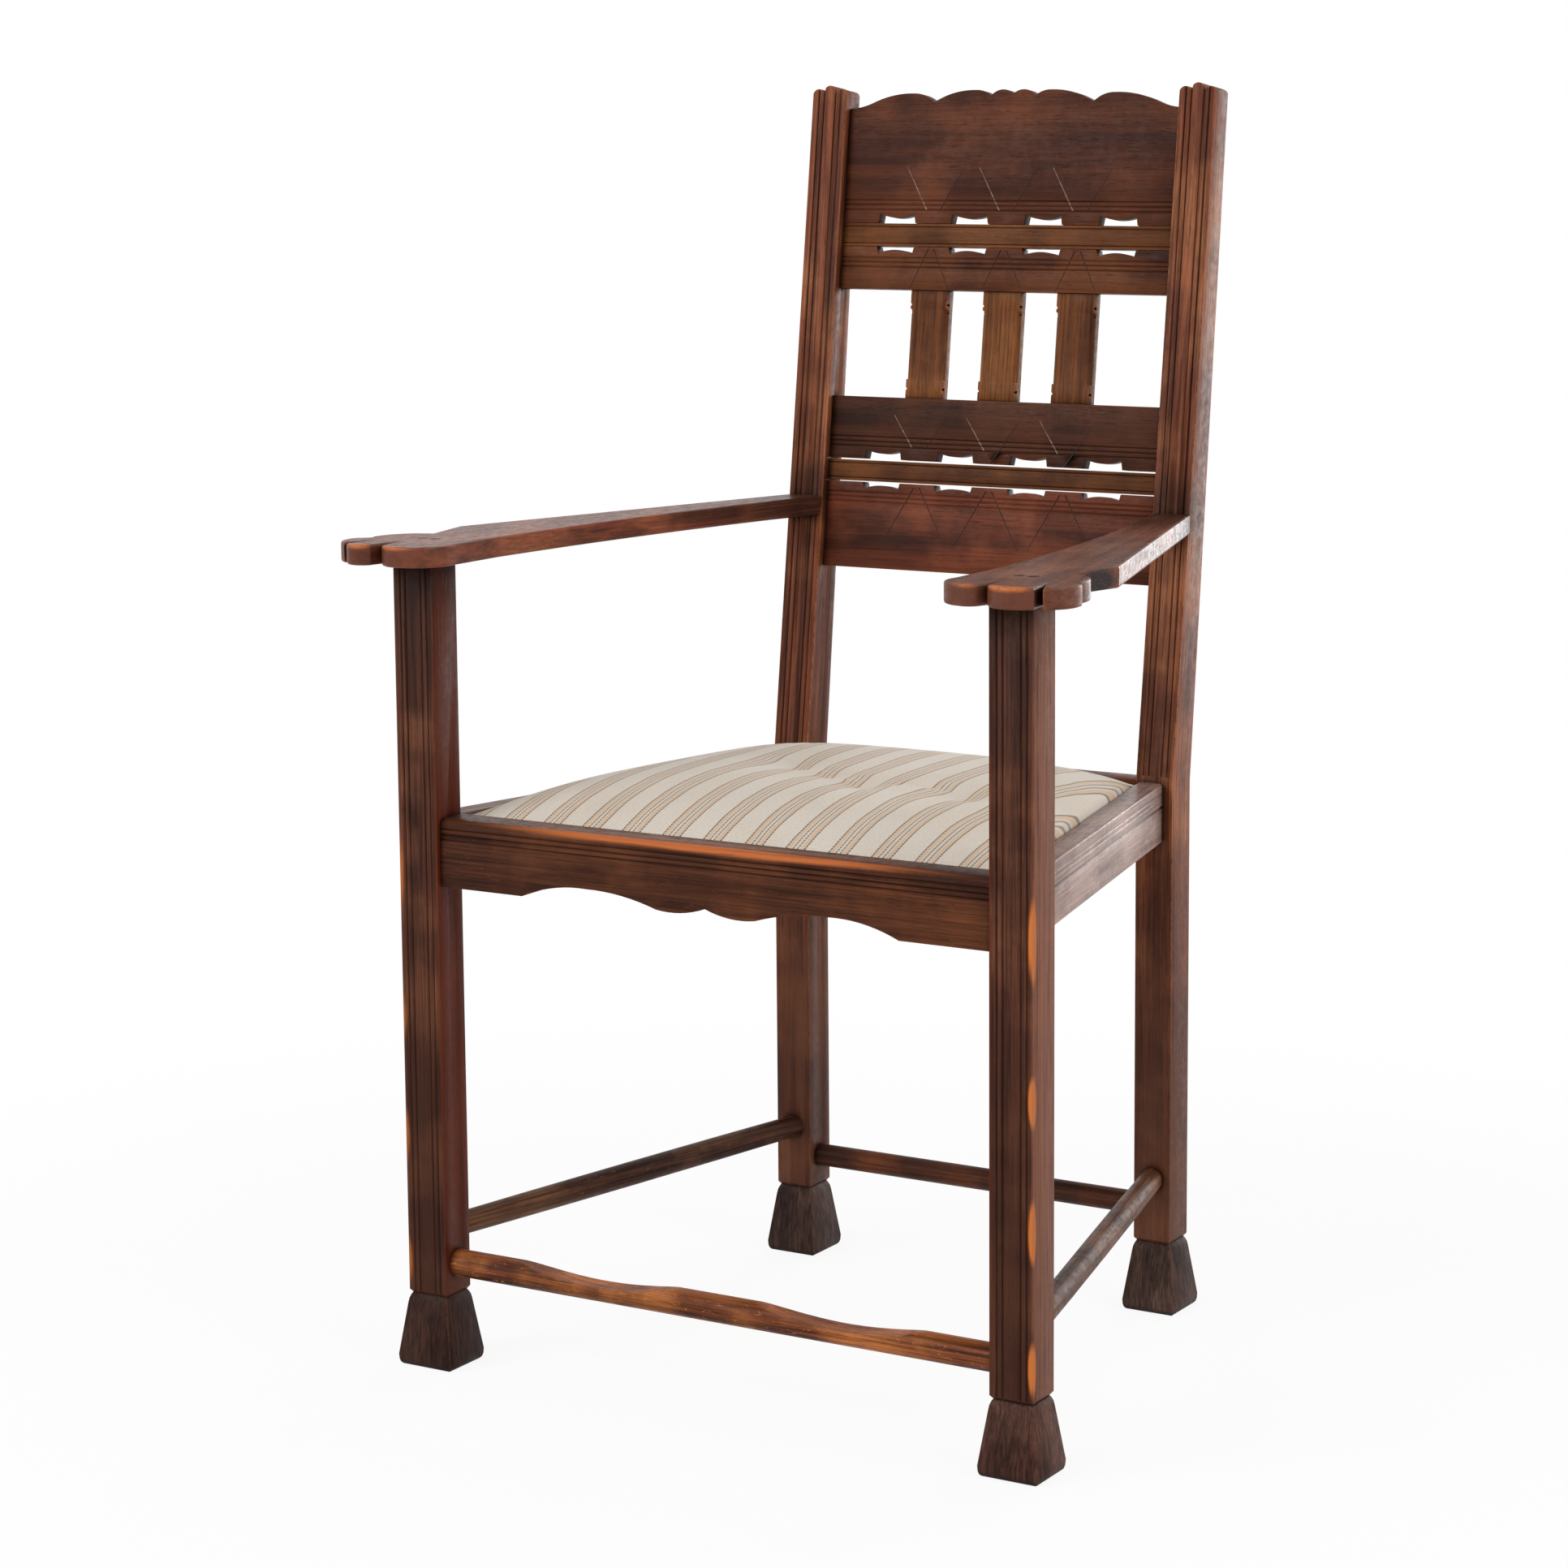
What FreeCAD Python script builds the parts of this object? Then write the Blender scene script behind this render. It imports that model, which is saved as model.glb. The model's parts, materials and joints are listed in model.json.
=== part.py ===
"""High-back oak armchair with a lift-out upholstered seat, in millimetres.

The chair stands on z = 0 and faces -Y, with its origin on the floor under the middle of its box.
Posts, boards and the arms' ends share the raked plane of the back. Left pieces mirror right ones.
"""
import FreeCAD
import Part
import Sketcher

import math
import os

Vector = FreeCAD.Vector
Placement = FreeCAD.Placement
Rotation = FreeCAD.Rotation

# Driving sizes: alias, value, meaning
SIZES = (
    ("front_width", 592, "outer faces of the front legs"),
    ("rear_width", 399, "outer faces of the posts"),
    ("seat_depth", 473, "front of the front legs to back of the posts"),
    ("leg_width", 38.3, "front leg, across"),
    ("leg_depth", 33.8, "front leg, front to back"),
    ("post_width", 34.5, "post, across"),
    ("post_depth", 34.6, "post, front to back, up to the bend"),
    ("post_top_depth", 23.6, "post, front to back, at its top"),
    ("bend_height", 470, "height where the posts start to lean"),
    ("rake", 7.5, "lean of the back, degrees"),
    ("raked_length", 599, "post above the bend, along the lean"),
    ("lobe_drop", 3, "side lobes of a post top below its middle lobe"),
    ("foot_height", 62, "foot block"),
    ("foot_flare", 7.5, "foot block beyond its leg, each side"),
    ("foot_round", 9, "rounding of a foot's lower edge"),
    ("foot_neck", 2, "depth of the groove over a foot"),
    ("foot_pin_radius", 6, "dowel between foot and leg"),
    ("foot_pin_length", 36, "dowel between foot and leg"),
    ("reed_edge", 6.2, "outer moulding groove from a leg's edge"),
    ("reed_pitch", 5.2, "from the outer to the inner moulding groove"),
    ("groove_width", 2.2, "moulding groove"),
    ("groove_depth", 1.4, "moulding groove"),
    ("reed_foot", 5, "end of the post moulding above the bend"),
    ("leg_ease", 2.6, "legs and posts chamfered above the foot groove"),
    ("seat_rail_top", 469.5, "top of all seat rails"),
    ("front_rail_height", 57, "front rail at its ends"),
    ("front_rail_thick", 29, "front rail"),
    ("front_rail_inset", 4.3, "front rail behind the leg's face"),
    ("apron_rise", 12, "arches of the front rail's lower edge"),
    ("apron_cusp", 7, "cusp in the middle of the front rail"),
    ("side_rail_height", 50.5, "side rails"),
    ("side_rail_thick", 21, "side rails"),
    ("side_rail_inset_front", 15.8, "side rail in from the front leg's outer face"),
    ("side_rail_inset_rear", 9.3, "side rail in from the post's outer face"),
    ("rear_rail_height", 50, "rear rail"),
    ("rear_rail_thick", 22, "rear rail"),
    ("rail_round", 6, "rounding of the front rail's outer top edge"),
    ("rail_groove_drop", 8.5, "first groove of the front rail below its top"),
    ("rail_groove_pitch", 4.5, "between the grooves of the front rail"),
    ("side_rail_round", 1.6, "rounding of the side rails' outer top edge"),
    ("fine_line_drop", 9, "first fine line of the side rails below their top"),
    ("fine_line_pitch", 4.2, "between the fine lines of the side rails"),
    ("fine_line_width", 1, "fine lines of the side rails"),
    ("fine_line_depth", 0.5, "fine lines of the side rails"),
    ("deep_groove_drop", 20.5, "deep groove of the side rails below their top"),
    ("deep_groove_width", 3, "deep groove of the side rails"),
    ("deep_groove_depth", 2.4, "deep groove of the side rails"),
    ("rail_tenon_thick", 9, "rail tenons"),
    ("rail_tenon_shoulder", 7, "rail tenons, in from top and bottom"),
    ("rail_tenon_length", 22, "front and rear rail tenons"),
    ("side_tenon_length", 10, "side rail tenons"),
    ("joint_play", 0.1, "clearance round tenons, dowels and pins"),
    ("glue_room", 1, "space beyond the end of a tenon"),
    ("back_inset", 8, "boards behind the posts' face"),
    ("board_thick", 12, "back boards and slats"),
    ("board_tenon_length", 10, "boards into the posts"),
    ("board_tenon_shoulder", 2, "board tenons, all round"),
    ("crest_drop", 122, "crest board's lower edge below the posts' top, along the lean"),
    ("crest_height", 102, "crest board at its ends"),
    ("crest_hump", 16.5, "highest lobe of the crest above its ends"),
    ("slat_room", 21, "from board to board round a slat"),
    ("closed_slit", 0.3, "above and below the upper slat"),
    ("open_slit", 1.5, "above the lower slat"),
    ("low_slit", 0.9, "below the lower slat"),
    ("slat_line_inset", 2.8, "slat lines from the slat's edges"),
    ("slat_line_width", 1.3, "slat lines"),
    ("slat_line_depth", 0.9, "slat lines"),
    ("upper_board_height", 38, "board under the upper slat"),
    ("splat_length", 96.5, "three splats, between boards"),
    ("splat_width", 37.7, "three splats"),
    ("splat_thick", 10, "three splats"),
    ("splat_pitch", 73, "three splats, centre to centre"),
    ("splat_inset", 2.5, "splats behind the boards' face"),
    ("splat_chamfer", 3, "stopped chamfers of the splats"),
    ("splat_chamfer_stop", 17, "chamfer ends short of the boards"),
    ("splat_tenon", 8, "splats into the boards"),
    ("lower_board_height", 55.5, "board under the splats"),
    ("bottom_board_height", 77, "lowest back board"),
    ("notch_width", 35, "hourglass cut-outs between boards"),
    ("notch_pitch", 73.3, "hourglass cut-outs"),
    ("notch_flare", 1.5, "cut-out mouths wider than their inside, each side"),
    ("notch_side", 8.5, "cut-out depth at its sides, crest and lower board"),
    ("notch_middle", 4.8, "cut-out depth at its middle, crest and lower board"),
    ("low_notch_side", 6, "cut-out depth at its sides, other boards"),
    ("low_notch_middle", 2.7, "cut-out depth at its middle, other boards"),
    ("line_pitch", 4.2, "between the three lines of a board"),
    ("line_width", 1.6, "board lines"),
    ("line_depth", 1, "board lines"),
    ("crest_line", 12, "lowest line above the crest's bottom"),
    ("upper_line", 19.8, "lowest line above the upper board's bottom"),
    ("lower_line", 11.3, "lowest line above the lower board's bottom"),
    ("bottom_line", 59.3, "lowest line above the bottom board's bottom"),
    ("arm_underside", 681.5, "underside of the arms"),
    ("arm_thick", 17, "arms"),
    ("arm_round", 2, "rounding of the arms' edges"),
    ("arm_dowel_radius", 3.5, "two dowels from an arm into its post"),
    ("arm_dowel_length", 44, "two dowels from an arm into its post"),
    ("arm_dowel_inset", 16.5, "first arm dowel from the post's inner face"),
    ("arm_dowel_pitch", 10.5, "between the two dowels of an arm"),
    ("screw_radius", 2.2, "wood screws"),
    ("screw_head_radius", 4.4, "wood screws"),
    ("arm_screw_length", 45, "arm into leg"),
    ("plug_radius", 5, "wooden plugs over the arm screws"),
    ("plug_height", 5, "wooden plugs over the arm screws"),
    ("arm_screw_spread", 12, "between the two screws of an arm"),
    ("arm_screw_back", 24, "arm screws behind the leg's front face"),
    ("stretcher_tenon_radius", 8, "round ends of the stretchers"),
    ("stretcher_tenon_length", 14, "round ends of the stretchers"),
    ("front_stretcher_radius", 11.5, "front stretcher"),
    ("front_stretcher_height", 89, "front stretcher's axis"),
    ("rear_stretcher_radius", 10, "rear stretcher"),
    ("rear_stretcher_height", 90.5, "rear stretcher's axis"),
    ("side_stretcher_radius", 10.5, "side stretchers at mid-length"),
    ("side_stretcher_end_radius", 9.8, "side stretchers at their ends"),
    ("side_stretcher_front", 113, "side stretcher's axis at the front leg"),
    ("side_stretcher_rear", 119, "side stretcher's axis at the post"),
    ("wear_depth", 9, "hollows worn into the front stretcher"),
    ("wear_half_length", 80, "hollows worn into the front stretcher"),
    ("wear_centre", 115, "hollows worn into the front stretcher"),
    ("corner_block_height", 20, "corner blocks"),
    ("front_block_across", 66, "front corner block along the front rail"),
    ("front_block_along", 58, "front corner block along the side rail"),
    ("rear_block_across", 55, "rear corner block along the rear rail"),
    ("rear_block_along", 66, "rear corner block along the side rail"),
    ("block_corner_cut", 9, "corner block clear of leg and post"),
    ("block_screw_length", 40, "corner block screws"),
    ("seat_drop", 28.5, "underside of the loose seat below the rails' top"),
    ("seat_rest_gap", 0.2, "loose seat above its corner blocks"),
    ("seat_play", 2, "loose seat clear of the rails"),
    ("seat_bar_width", 45, "bars of the seat frame"),
    ("seat_bar_thick", 20, "bars of the seat frame"),
    ("seat_pin_radius", 4, "dowels of the seat frame"),
    ("seat_pin_length", 40, "dowels of the seat frame"),
    ("strap_width", 50, "seat webbing"),
    ("strap_thick", 1.6, "seat webbing"),
    ("hessian_thick", 1, "cloth over the webbing"),
    ("cushion_edge", 1.5, "cushion's upright edge"),
    ("cushion_crown", 33, "cushion's crown above its base"),
    ("cushion_crease", 3, "pressed crease across the cushion"),
)

DOC = FreeCAD.newDocument("Armchair")
SHEET = DOC.addObject("Spreadsheet::Sheet", "Sizes")
NODES = []


class Size:
    """A length as an expression over the sheet, which also reads as a number."""

    def __init__(self, text):
        self.text = str(text)

    def __float__(self):
        result = SHEET.evalExpression(self.text)
        return float(getattr(result, "Value", result))

    def __add__(self, other):
        return Size(f"({self.text} + {Size(other)})")

    def __radd__(self, other):
        return Size(f"({other} + {self.text})")

    def __sub__(self, other):
        return Size(f"({self.text} - {Size(other)})")

    def __mul__(self, other):
        return Size(f"({self.text} * {Size(other)})")

    def __truediv__(self, other):
        return Size(f"({self.text} / {Size(other)})")

    def __neg__(self):
        return Size(f"(0 - {self.text})")

    def __str__(self):
        return self.text


def fill_sheet():
    """Write the driving sizes into the sheet, one row each."""
    for row, (alias, value, meaning) in enumerate(SIZES, start=1):
        SHEET.set(f"A{row}", alias.replace("_", " "))
        SHEET.set(f"B{row}", str(value))
        SHEET.setAlias(f"B{row}", alias)
        SHEET.set(f"C{row}", meaning)
    DOC.recompute()


fill_sheet()


def size(alias):
    """Return one driving size by its name."""
    return Size(f"Sizes.{alias}")


# Heads of the arms in plan, sawn by eye and not alike: outward from the leg's middle, back from its face
ARM_WAIST = (
    ((44, 14),),
    ((51, 14), (49, 33), (34, 52)),
    ((21, 58),),
    ((33.5, 112),),
)
ARM_HEADS = {
    "right": (
        ((-44.8, -8), (-40, -31), (-24.5, -39.5)),
        ((-24.5, -39.5), (-15.5, -39.5), (-9.5, -34)),
        ((-3.5, -15),),
        ((-2, -34), (17, -44), (37.5, -35.5)),
        ((34.5, -12),),
        ((43.5, -33), (55, -22), (58.5, 1)),
    ) + ARM_WAIST,
    "left": (
        ((-44.8, -8), (-36, -32.5), (-18, -39.5)),
        ((-18, -39.5), (-4.5, -39.5), (5.5, -33)),
        ((10.5, -9),),
        ((15.5, -35), (27, -41.5), (40.5, -33)),
        ((37.5, -13),),
        ((46, -30), (56.5, -20), (58.5, 1)),
    ) + ARM_WAIST,
}
ARM_INNER_START = (-44.8, 60)
ARM_INNER_BOW = 10


def arm_reach():
    """Return the least y of the heads' arcs, to place the chair's origin."""
    least = 0.0
    for head in ARM_HEADS.values():
        for step in head:
            if len(step) == 3:
                arc = Part.Arc(*(Vector(x, y, 0) for x, y in step)).toShape()
                least = min(least, arc.BoundBox.YMin)
    return least


# Places shared by several pieces, right side
TAN_RAKE = Size("tan(Sizes.rake)")
SIN_RAKE = Size("sin(Sizes.rake)")
COS_RAKE = Size("cos(Sizes.rake)")
REACH_BACK = (size("seat_depth") - size("post_depth") + size("raked_length") * SIN_RAKE
              + size("post_top_depth") * COS_RAKE)
FACE = Size(round(-(float(REACH_BACK) + arm_reach()) / 2, 4))
LEG_BACK = FACE + size("leg_depth")
POST_FACE = FACE + size("seat_depth") - size("post_depth")
POST_BACK = FACE + size("seat_depth")
LEG_OUTER = size("front_width") / 2
LEG_INNER = LEG_OUTER - size("leg_width")
LEG_X = LEG_OUTER - size("leg_width") / 2
LEG_Y = FACE + size("leg_depth") / 2
POST_OUTER = size("rear_width") / 2
POST_INNER = POST_OUTER - size("post_width")
POST_X = POST_OUTER - size("post_width") / 2
POST_Y = POST_FACE + size("post_depth") / 2
RAIL_TOP = size("seat_rail_top")
RAIL_FRONT = FACE + size("front_rail_inset")
RAIL_FRONT_IN = RAIL_FRONT + size("front_rail_thick")
RAIL_REAR_IN = POST_FACE + size("back_inset")
RAIL_REAR_OUT = RAIL_REAR_IN + size("rear_rail_thick")
SIDE_X_FRONT = LEG_OUTER - size("side_rail_inset_front")
SIDE_X_REAR = POST_OUTER - size("side_rail_inset_rear")
SIDE_TAN = (SIDE_X_FRONT - SIDE_X_REAR) / (POST_FACE - LEG_BACK)
SIDE_WIDE = size("side_rail_thick") / Size(f"cos(atan({SIDE_TAN}))")
SEAT_BASE = RAIL_TOP - size("seat_drop")
BLOCK_TOP = SEAT_BASE - size("seat_rest_gap")
BAR_TOP = SEAT_BASE + size("seat_bar_thick")
ARM_TOP = size("arm_underside") + size("arm_thick")
PLAY = size("joint_play")
OVER = Size(5)
PLANES = {
    "XY": (Rotation(), Vector(0, 0, 1)),
    "XZ": (Rotation(Vector(1, 0, 0), 90), Vector(0, 1, 0)),
    "YZ": (Rotation(Vector(1, 1, 1), 120), Vector(1, 0, 0)),
}


def bind(thing, **sizes):
    """Bind properties to sheet expressions; a double underscore stands for a dot."""
    for name, value in sizes.items():
        thing.setExpression(name.replace("__", "."), str(value))
    return thing


def box(name, x, y, z):
    """Box between two x, two y and two z values."""
    thing = DOC.addObject("Part::Box", name)
    return bind(thing, Length=x[1] - x[0], Width=y[1] - y[0], Height=z[1] - z[0],
                Placement__Base__x=x[0], Placement__Base__y=y[0], Placement__Base__z=z[0])


def pin(name, radius, length, base, direction):
    """Cylinder from a base point along a direction."""
    thing = DOC.addObject("Part::Cylinder", name)
    thing.Placement = Placement(Vector(), Rotation(Vector(0, 0, 1), direction))
    return bind(thing, Radius=radius, Height=length, Placement__Base__x=base[0],
                Placement__Base__y=base[1], Placement__Base__z=base[2])


def outline(name, plane, start, corners):
    """Sketch of straight lines whose corners are bound to the sheet."""
    turn, normal = PLANES[plane]
    sketch = DOC.addObject("Sketcher::SketchObject", name)
    sketch.Placement = Placement(Vector(), turn)
    axis = "xyz"[[normal.x, normal.y, normal.z].index(1)]
    bind(sketch, **{f"Placement__Base__{axis}": start})
    points = [Vector(float(a), float(b), 0) for a, b in corners]
    count = len(points)
    for index in range(count):
        sketch.addGeometry(Part.LineSegment(points[index], points[(index + 1) % count]), False)
    for index in range(count):
        sketch.addConstraint(Sketcher.Constraint("Coincident", index, 2, (index + 1) % count, 1))
    for index, (across, up) in enumerate(corners):
        for kind, value in (("DistanceX", across), ("DistanceY", up)):
            number = sketch.addConstraint(Sketcher.Constraint(kind, -1, 1, index, 1, float(value)))
            sketch.setExpression(f"Constraints[{number}]", str(value))
    return sketch


def prism(name, plane, corners, start, end):
    """Solid between two parallel planes over an outline."""
    thing = DOC.addObject("Part::Extrusion", name)
    thing.Base = outline(f"{name}_outline", plane, start, corners)
    thing.DirMode = "Custom"
    thing.Dir = PLANES[plane][1]
    thing.Solid = True
    return bind(thing, LengthFwd=end - start)


def joined(name, pieces):
    """Fuse two or more solids into one."""
    thing = DOC.addObject("Part::MultiFuse", name)
    thing.Shapes = pieces
    return thing


def cut(name, base, tools):
    """Take one or more tools away from a base solid."""
    thing = DOC.addObject("Part::Cut", name)
    thing.Base = base
    thing.Tool = tools[0] if len(tools) == 1 else joined(f"{name}_tools", tools)
    return thing


def common(name, first, second):
    """Keep what two solids share."""
    thing = DOC.addObject("Part::Common", name)
    thing.Base = first
    thing.Tool = second
    return thing


def group(name, pieces):
    """Separate solids under one name."""
    thing = DOC.addObject("Part::Compound", name)
    thing.Links = pieces
    return thing


def solid(name, shape, placement=Placement()):
    """A form made with arcs, lofts or fillets from sizes read off the sheet."""
    thing = DOC.addObject("Part::Feature", name)
    thing.Shape = shape
    thing.Placement = placement.multiply(shape.Placement)
    return thing


def node(name, thing):
    """Name a finished sub-part."""
    thing.Label = name
    NODES.append(thing)
    return thing


def handed(name, right):
    """Name a right-hand sub-part and its mirror image."""
    node(f"{name}_right", right)
    left = DOC.addObject("Part::Mirroring", f"{name}_left_mirror")
    left.Source = right
    left.Normal = (1, 0, 0)
    node(f"{name}_left", left)


def mirrored(name, right):
    """Mirror image of a helper solid."""
    left = DOC.addObject("Part::Mirroring", name)
    left.Source = right
    left.Normal = (1, 0, 0)
    return left


def back_frame(across=0.0, along=0.0, behind=0.0):
    """Frame on the posts' raked front face: X across, Y up the lean, Z forward."""
    origin = Placement(Vector(0, float(POST_FACE), float(size("bend_height"))),
                       Rotation(Vector(1, 0, 0), 90 - float(size("rake"))))
    return origin.multiply(Placement(Vector(float(across), float(along), -float(behind)), Rotation()))


def raked_box(name, across, along, behind):
    """Box in the back's raked frame between two values each way."""
    thing = DOC.addObject("Part::Box", name)
    bind(thing, Length=across[1] - across[0], Width=along[1] - along[0], Height=behind[1] - behind[0])
    thing.Placement = back_frame(across[0], along[0], behind[1])
    return thing


def runs_of(steps):
    """Lines (two points) and arcs (three points) of an outline of corners and arcs."""
    runs = []
    starts = [Vector(*step[0], 0) for step in steps]
    for index, step in enumerate(steps):
        after = starts[(index + 1) % len(steps)]
        last = Vector(*step[-1], 0)
        if len(step) == 3:
            runs.append([Vector(*point, 0) for point in step])
        if last.distanceToPoint(after) > 1e-6:
            runs.append([last, after])
    return runs


def wire_through(runs):
    """Closed wire of lines and arcs."""
    return Part.Wire([(Part.Arc if len(run) == 3 else Part.LineSegment)(*run).toShape() for run in runs])


def wire_of(steps):
    """Closed wire through straight corners (one point) and arcs (three points)."""
    return wire_through(runs_of(steps))


def depth_inside(run, point):
    """How far a point lies to the left of a line or arc, and the way further in."""
    if len(run) == 2:
        along = (run[1] - run[0]).normalize()
        inward = Vector(-along.y, along.x, 0)
        return (point - run[0]).dot(inward), inward
    circle = Part.Circle(*run)
    away = point - circle.Center
    turn = math.copysign(1, (run[1] - run[0]).cross(run[2] - run[1]).z)
    return turn * (circle.Radius - away.Length), away.normalize() * -turn


def inset_corner(before, after, depth):
    """Point at a given depth inside both runs that meet at a corner."""
    point = corner = after[0]
    for _ in range(8):
        here, inward = depth_inside(before, point)
        there, onward = depth_inside(after, point)
        spread = inward.x * onward.y - inward.y * onward.x
        if abs(spread) < 0.1:
            return corner + (inward + onward).normalize() * depth
        first = depth - here
        second = depth - there
        step = Vector(first * onward.y - second * inward.y, second * inward.x - first * onward.x, 0)
        point = point + step / spread
    return point


def inset_wire(steps, depth):
    """The outline's wire moved inwards, run for run."""
    runs = runs_of(steps)
    corners = [inset_corner(runs[index - 1], run, depth) for index, run in enumerate(runs)]
    moved = []
    for index, run in enumerate(runs):
        ends = corners[index], corners[(index + 1) % len(runs)]
        middle = [run[1] + depth_inside(run, run[1])[1] * depth] if len(run) == 3 else []
        moved.append([ends[0], *middle, ends[1]])
    return wire_through(moved)


def plate(steps, thick):
    """Flat board over an outline, from z = 0 up."""
    return Part.Face(wire_of(steps)).extrude(Vector(0, 0, float(thick)))


def groove_bar(length, width, depth):
    """Triangular cutter along X with its sharp edge towards -Z, as wide as asked at z = 0."""
    half = width / 2
    corners = [Vector(0, -2 * half, depth), Vector(0, 2 * half, depth), Vector(0, 0, -depth)]
    face = Part.Face(Part.makePolygon(corners + corners[:1]))
    return face.extrude(Vector(length, 0, 0))


def ring(x, y, grow, level):
    """Corners of a level rectangle between two x and two y values, grown each way."""
    return [Vector(float(a) + sx * grow, float(b) + sy * grow, level)
            for a, b, sx, sy in ((x[0], y[0], -1, -1), (x[1], y[0], 1, -1),
                                 (x[1], y[1], 1, 1), (x[0], y[1], -1, 1))]


def stacked(rings):
    """Solid with flat sides through rectangles, from the lowest up."""
    faces = [Part.Face(Part.makePolygon(rim + rim[:1])) for rim in (rings[0], rings[-1])]
    for low, high in zip(rings, rings[1:]):
        for index in range(4):
            after = (index + 1) % 4
            corners = [low[index], low[after], high[after], high[index]]
            faces.append(Part.Face(Part.makePolygon(corners + corners[:1])))
    made = Part.Solid(Part.Shell(faces))
    return made if made.Volume > 0 else made.reversed()


def foot_block(name, x, y):
    """Flared foot under a leg that stands between two x and two y values."""
    height = float(size("foot_height"))
    flare = float(size("foot_flare"))
    neck = float(size("foot_neck"))
    rounding = float(size("foot_round"))
    levels = ((0, flare - rounding * 0.3), (rounding * 0.2, flare - rounding * 0.12),
              (rounding * 0.5, flare - rounding * 0.03), (rounding, flare),
              (height - 4.5 * neck, neck * 0.6), (height - 2.6 * neck, neck * 0.25),
              (height - 1.2 * neck, -neck * 0.3), (height, -neck))
    return solid(name, stacked([ring(x, y, grow, level) for level, grow in levels]))


def foot_ease(name, x, y):
    """Cutter that chamfers a leg's lower edges down to the neck of its foot."""
    low = float(size("foot_height"))
    ease = float(size("leg_ease"))
    neck = float(size("foot_neck"))
    wide = float(size("leg_width"))
    block = stacked([ring(x, y, wide, low - ease), ring(x, y, wide, low + ease)])
    slope = neck / ease
    core = stacked([ring(x, y, -neck - slope * ease * 2, low - ease * 2),
                    ring(x, y, slope * ease, low + ease * 2)])
    return solid(name, block.cut(core))


def side_line(y):
    """Outer face of the side rail at a given y."""
    return SIDE_X_FRONT - (y - LEG_BACK) * SIDE_TAN


def side_slab(name, y, inset, wide, z):
    """Piece that follows the side rail's lean, between two y and two z values."""
    corners = []
    for place, away in ((y[0], inset), (y[0], inset + wide), (y[1], inset + wide), (y[1], inset)):
        corners.append((side_line(place) - away, place))
    return prism(name, "XY", corners, z[0], z[1])


def rail_tenon_z(height, play):
    """Lower and upper face of a rail tenon or of its mortise."""
    shoulder = size("rail_tenon_shoulder")
    return RAIL_TOP - height + shoulder - play, RAIL_TOP - shoulder + play


def cross_tenon(name, inner, middle, height, play, room):
    """Tenon of the front or rear rail, or its mortise, from a leg's inner face outwards."""
    half = size("rail_tenon_thick") / 2 + play
    end = inner + size("rail_tenon_length") + room
    return box(name, (inner - OVER, end), (middle - half, middle + half), rail_tenon_z(height, play))


def side_tenon(name, place, sign, play, room):
    """Tenon of the side rail, or its mortise, from a leg's face into the wood."""
    length = (size("side_tenon_length") + room) * sign
    inset = (SIDE_WIDE - size("rail_tenon_thick")) / 2 - play
    wide = size("rail_tenon_thick") + play * 2
    ends = (place - OVER * sign, place + length)
    if sign < 0:
        ends = ends[::-1]
    return side_slab(name, ends, inset, wide, rail_tenon_z(size("side_rail_height"), play))


def side_stretcher_axis():
    """Ends of the side stretcher's axis on the leg's back and the post's front."""
    front = Vector(float(LEG_X), float(LEG_BACK), float(size("side_stretcher_front")))
    rear = Vector(float(POST_X), float(POST_FACE), float(size("side_stretcher_rear")))
    return front, rear


def socket(name, base, direction, play, room):
    """Round tenon of a stretcher, or its socket, through a face into the wood."""
    radius = float(size("stretcher_tenon_radius") + play)
    length = float(size("stretcher_tenon_length") + room + OVER)
    start = base - direction.normalize() * float(OVER)
    return solid(name, Part.makeCylinder(radius, length, start, direction))


def arm_screw_places():
    """Axes of the right arm's two screws in plan."""
    half = size("arm_screw_spread") / 2
    y = FACE + size("arm_screw_back")
    return ((LEG_X - half, y), (LEG_X + half, y))


def screw_seat():
    """Height of the arm screws' heads under their plugs."""
    return ARM_TOP - size("plug_height")


def reeds(width):
    """Moulding grooves across a leg of a given width, from its inner edge."""
    outer = size("reed_edge")
    inner = outer + size("reed_pitch")
    return (outer, inner, width - inner, width - outer)


def front_leg():
    """Front leg with its reeded face, mortises, sockets and screw holes."""
    half = size("groove_width") / 2
    corners = [(LEG_INNER, FACE)]
    for offset in reeds(size("leg_width")):
        middle = LEG_INNER + offset
        corners += [(middle - half, FACE), (middle, FACE + size("groove_depth")), (middle + half, FACE)]
    corners += [(LEG_OUTER, FACE), (LEG_OUTER, LEG_BACK), (LEG_INNER, LEG_BACK)]
    blank = prism("front_leg_blank", "XY", corners, size("foot_height"), size("arm_underside"))
    front, rear = side_stretcher_axis()
    stretcher_base = Vector(float(LEG_INNER), float(LEG_Y), float(size("front_stretcher_height")))
    rail_middle = RAIL_FRONT + size("front_rail_thick") / 2
    room = size("glue_room")
    tools = [
        foot_ease("front_leg_ease", (LEG_INNER, LEG_OUTER), (FACE, LEG_BACK)),
        cross_tenon("front_mortise", LEG_INNER, rail_middle, size("front_rail_height"), PLAY, room),
        side_tenon("front_side_mortise", LEG_BACK, -1, PLAY, room),
        socket("front_stretcher_socket", stretcher_base, Vector(1, 0, 0), PLAY, room),
        socket("front_side_socket", front, front - rear, PLAY, room),
        foot_pin("front_pin_bore", LEG_X, LEG_Y, PLAY, room),
    ]
    for index, (x, y) in enumerate(arm_screw_places()):
        depth = size("arm_screw_length") + room
        tools.append(pin(f"leg_pilot_{index}", size("screw_radius") + PLAY, depth,
                         (x, y, screw_seat() - depth), Vector(0, 0, 1)))
    handed("front_leg", cut("front_leg_cut", blank, tools))


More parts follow.
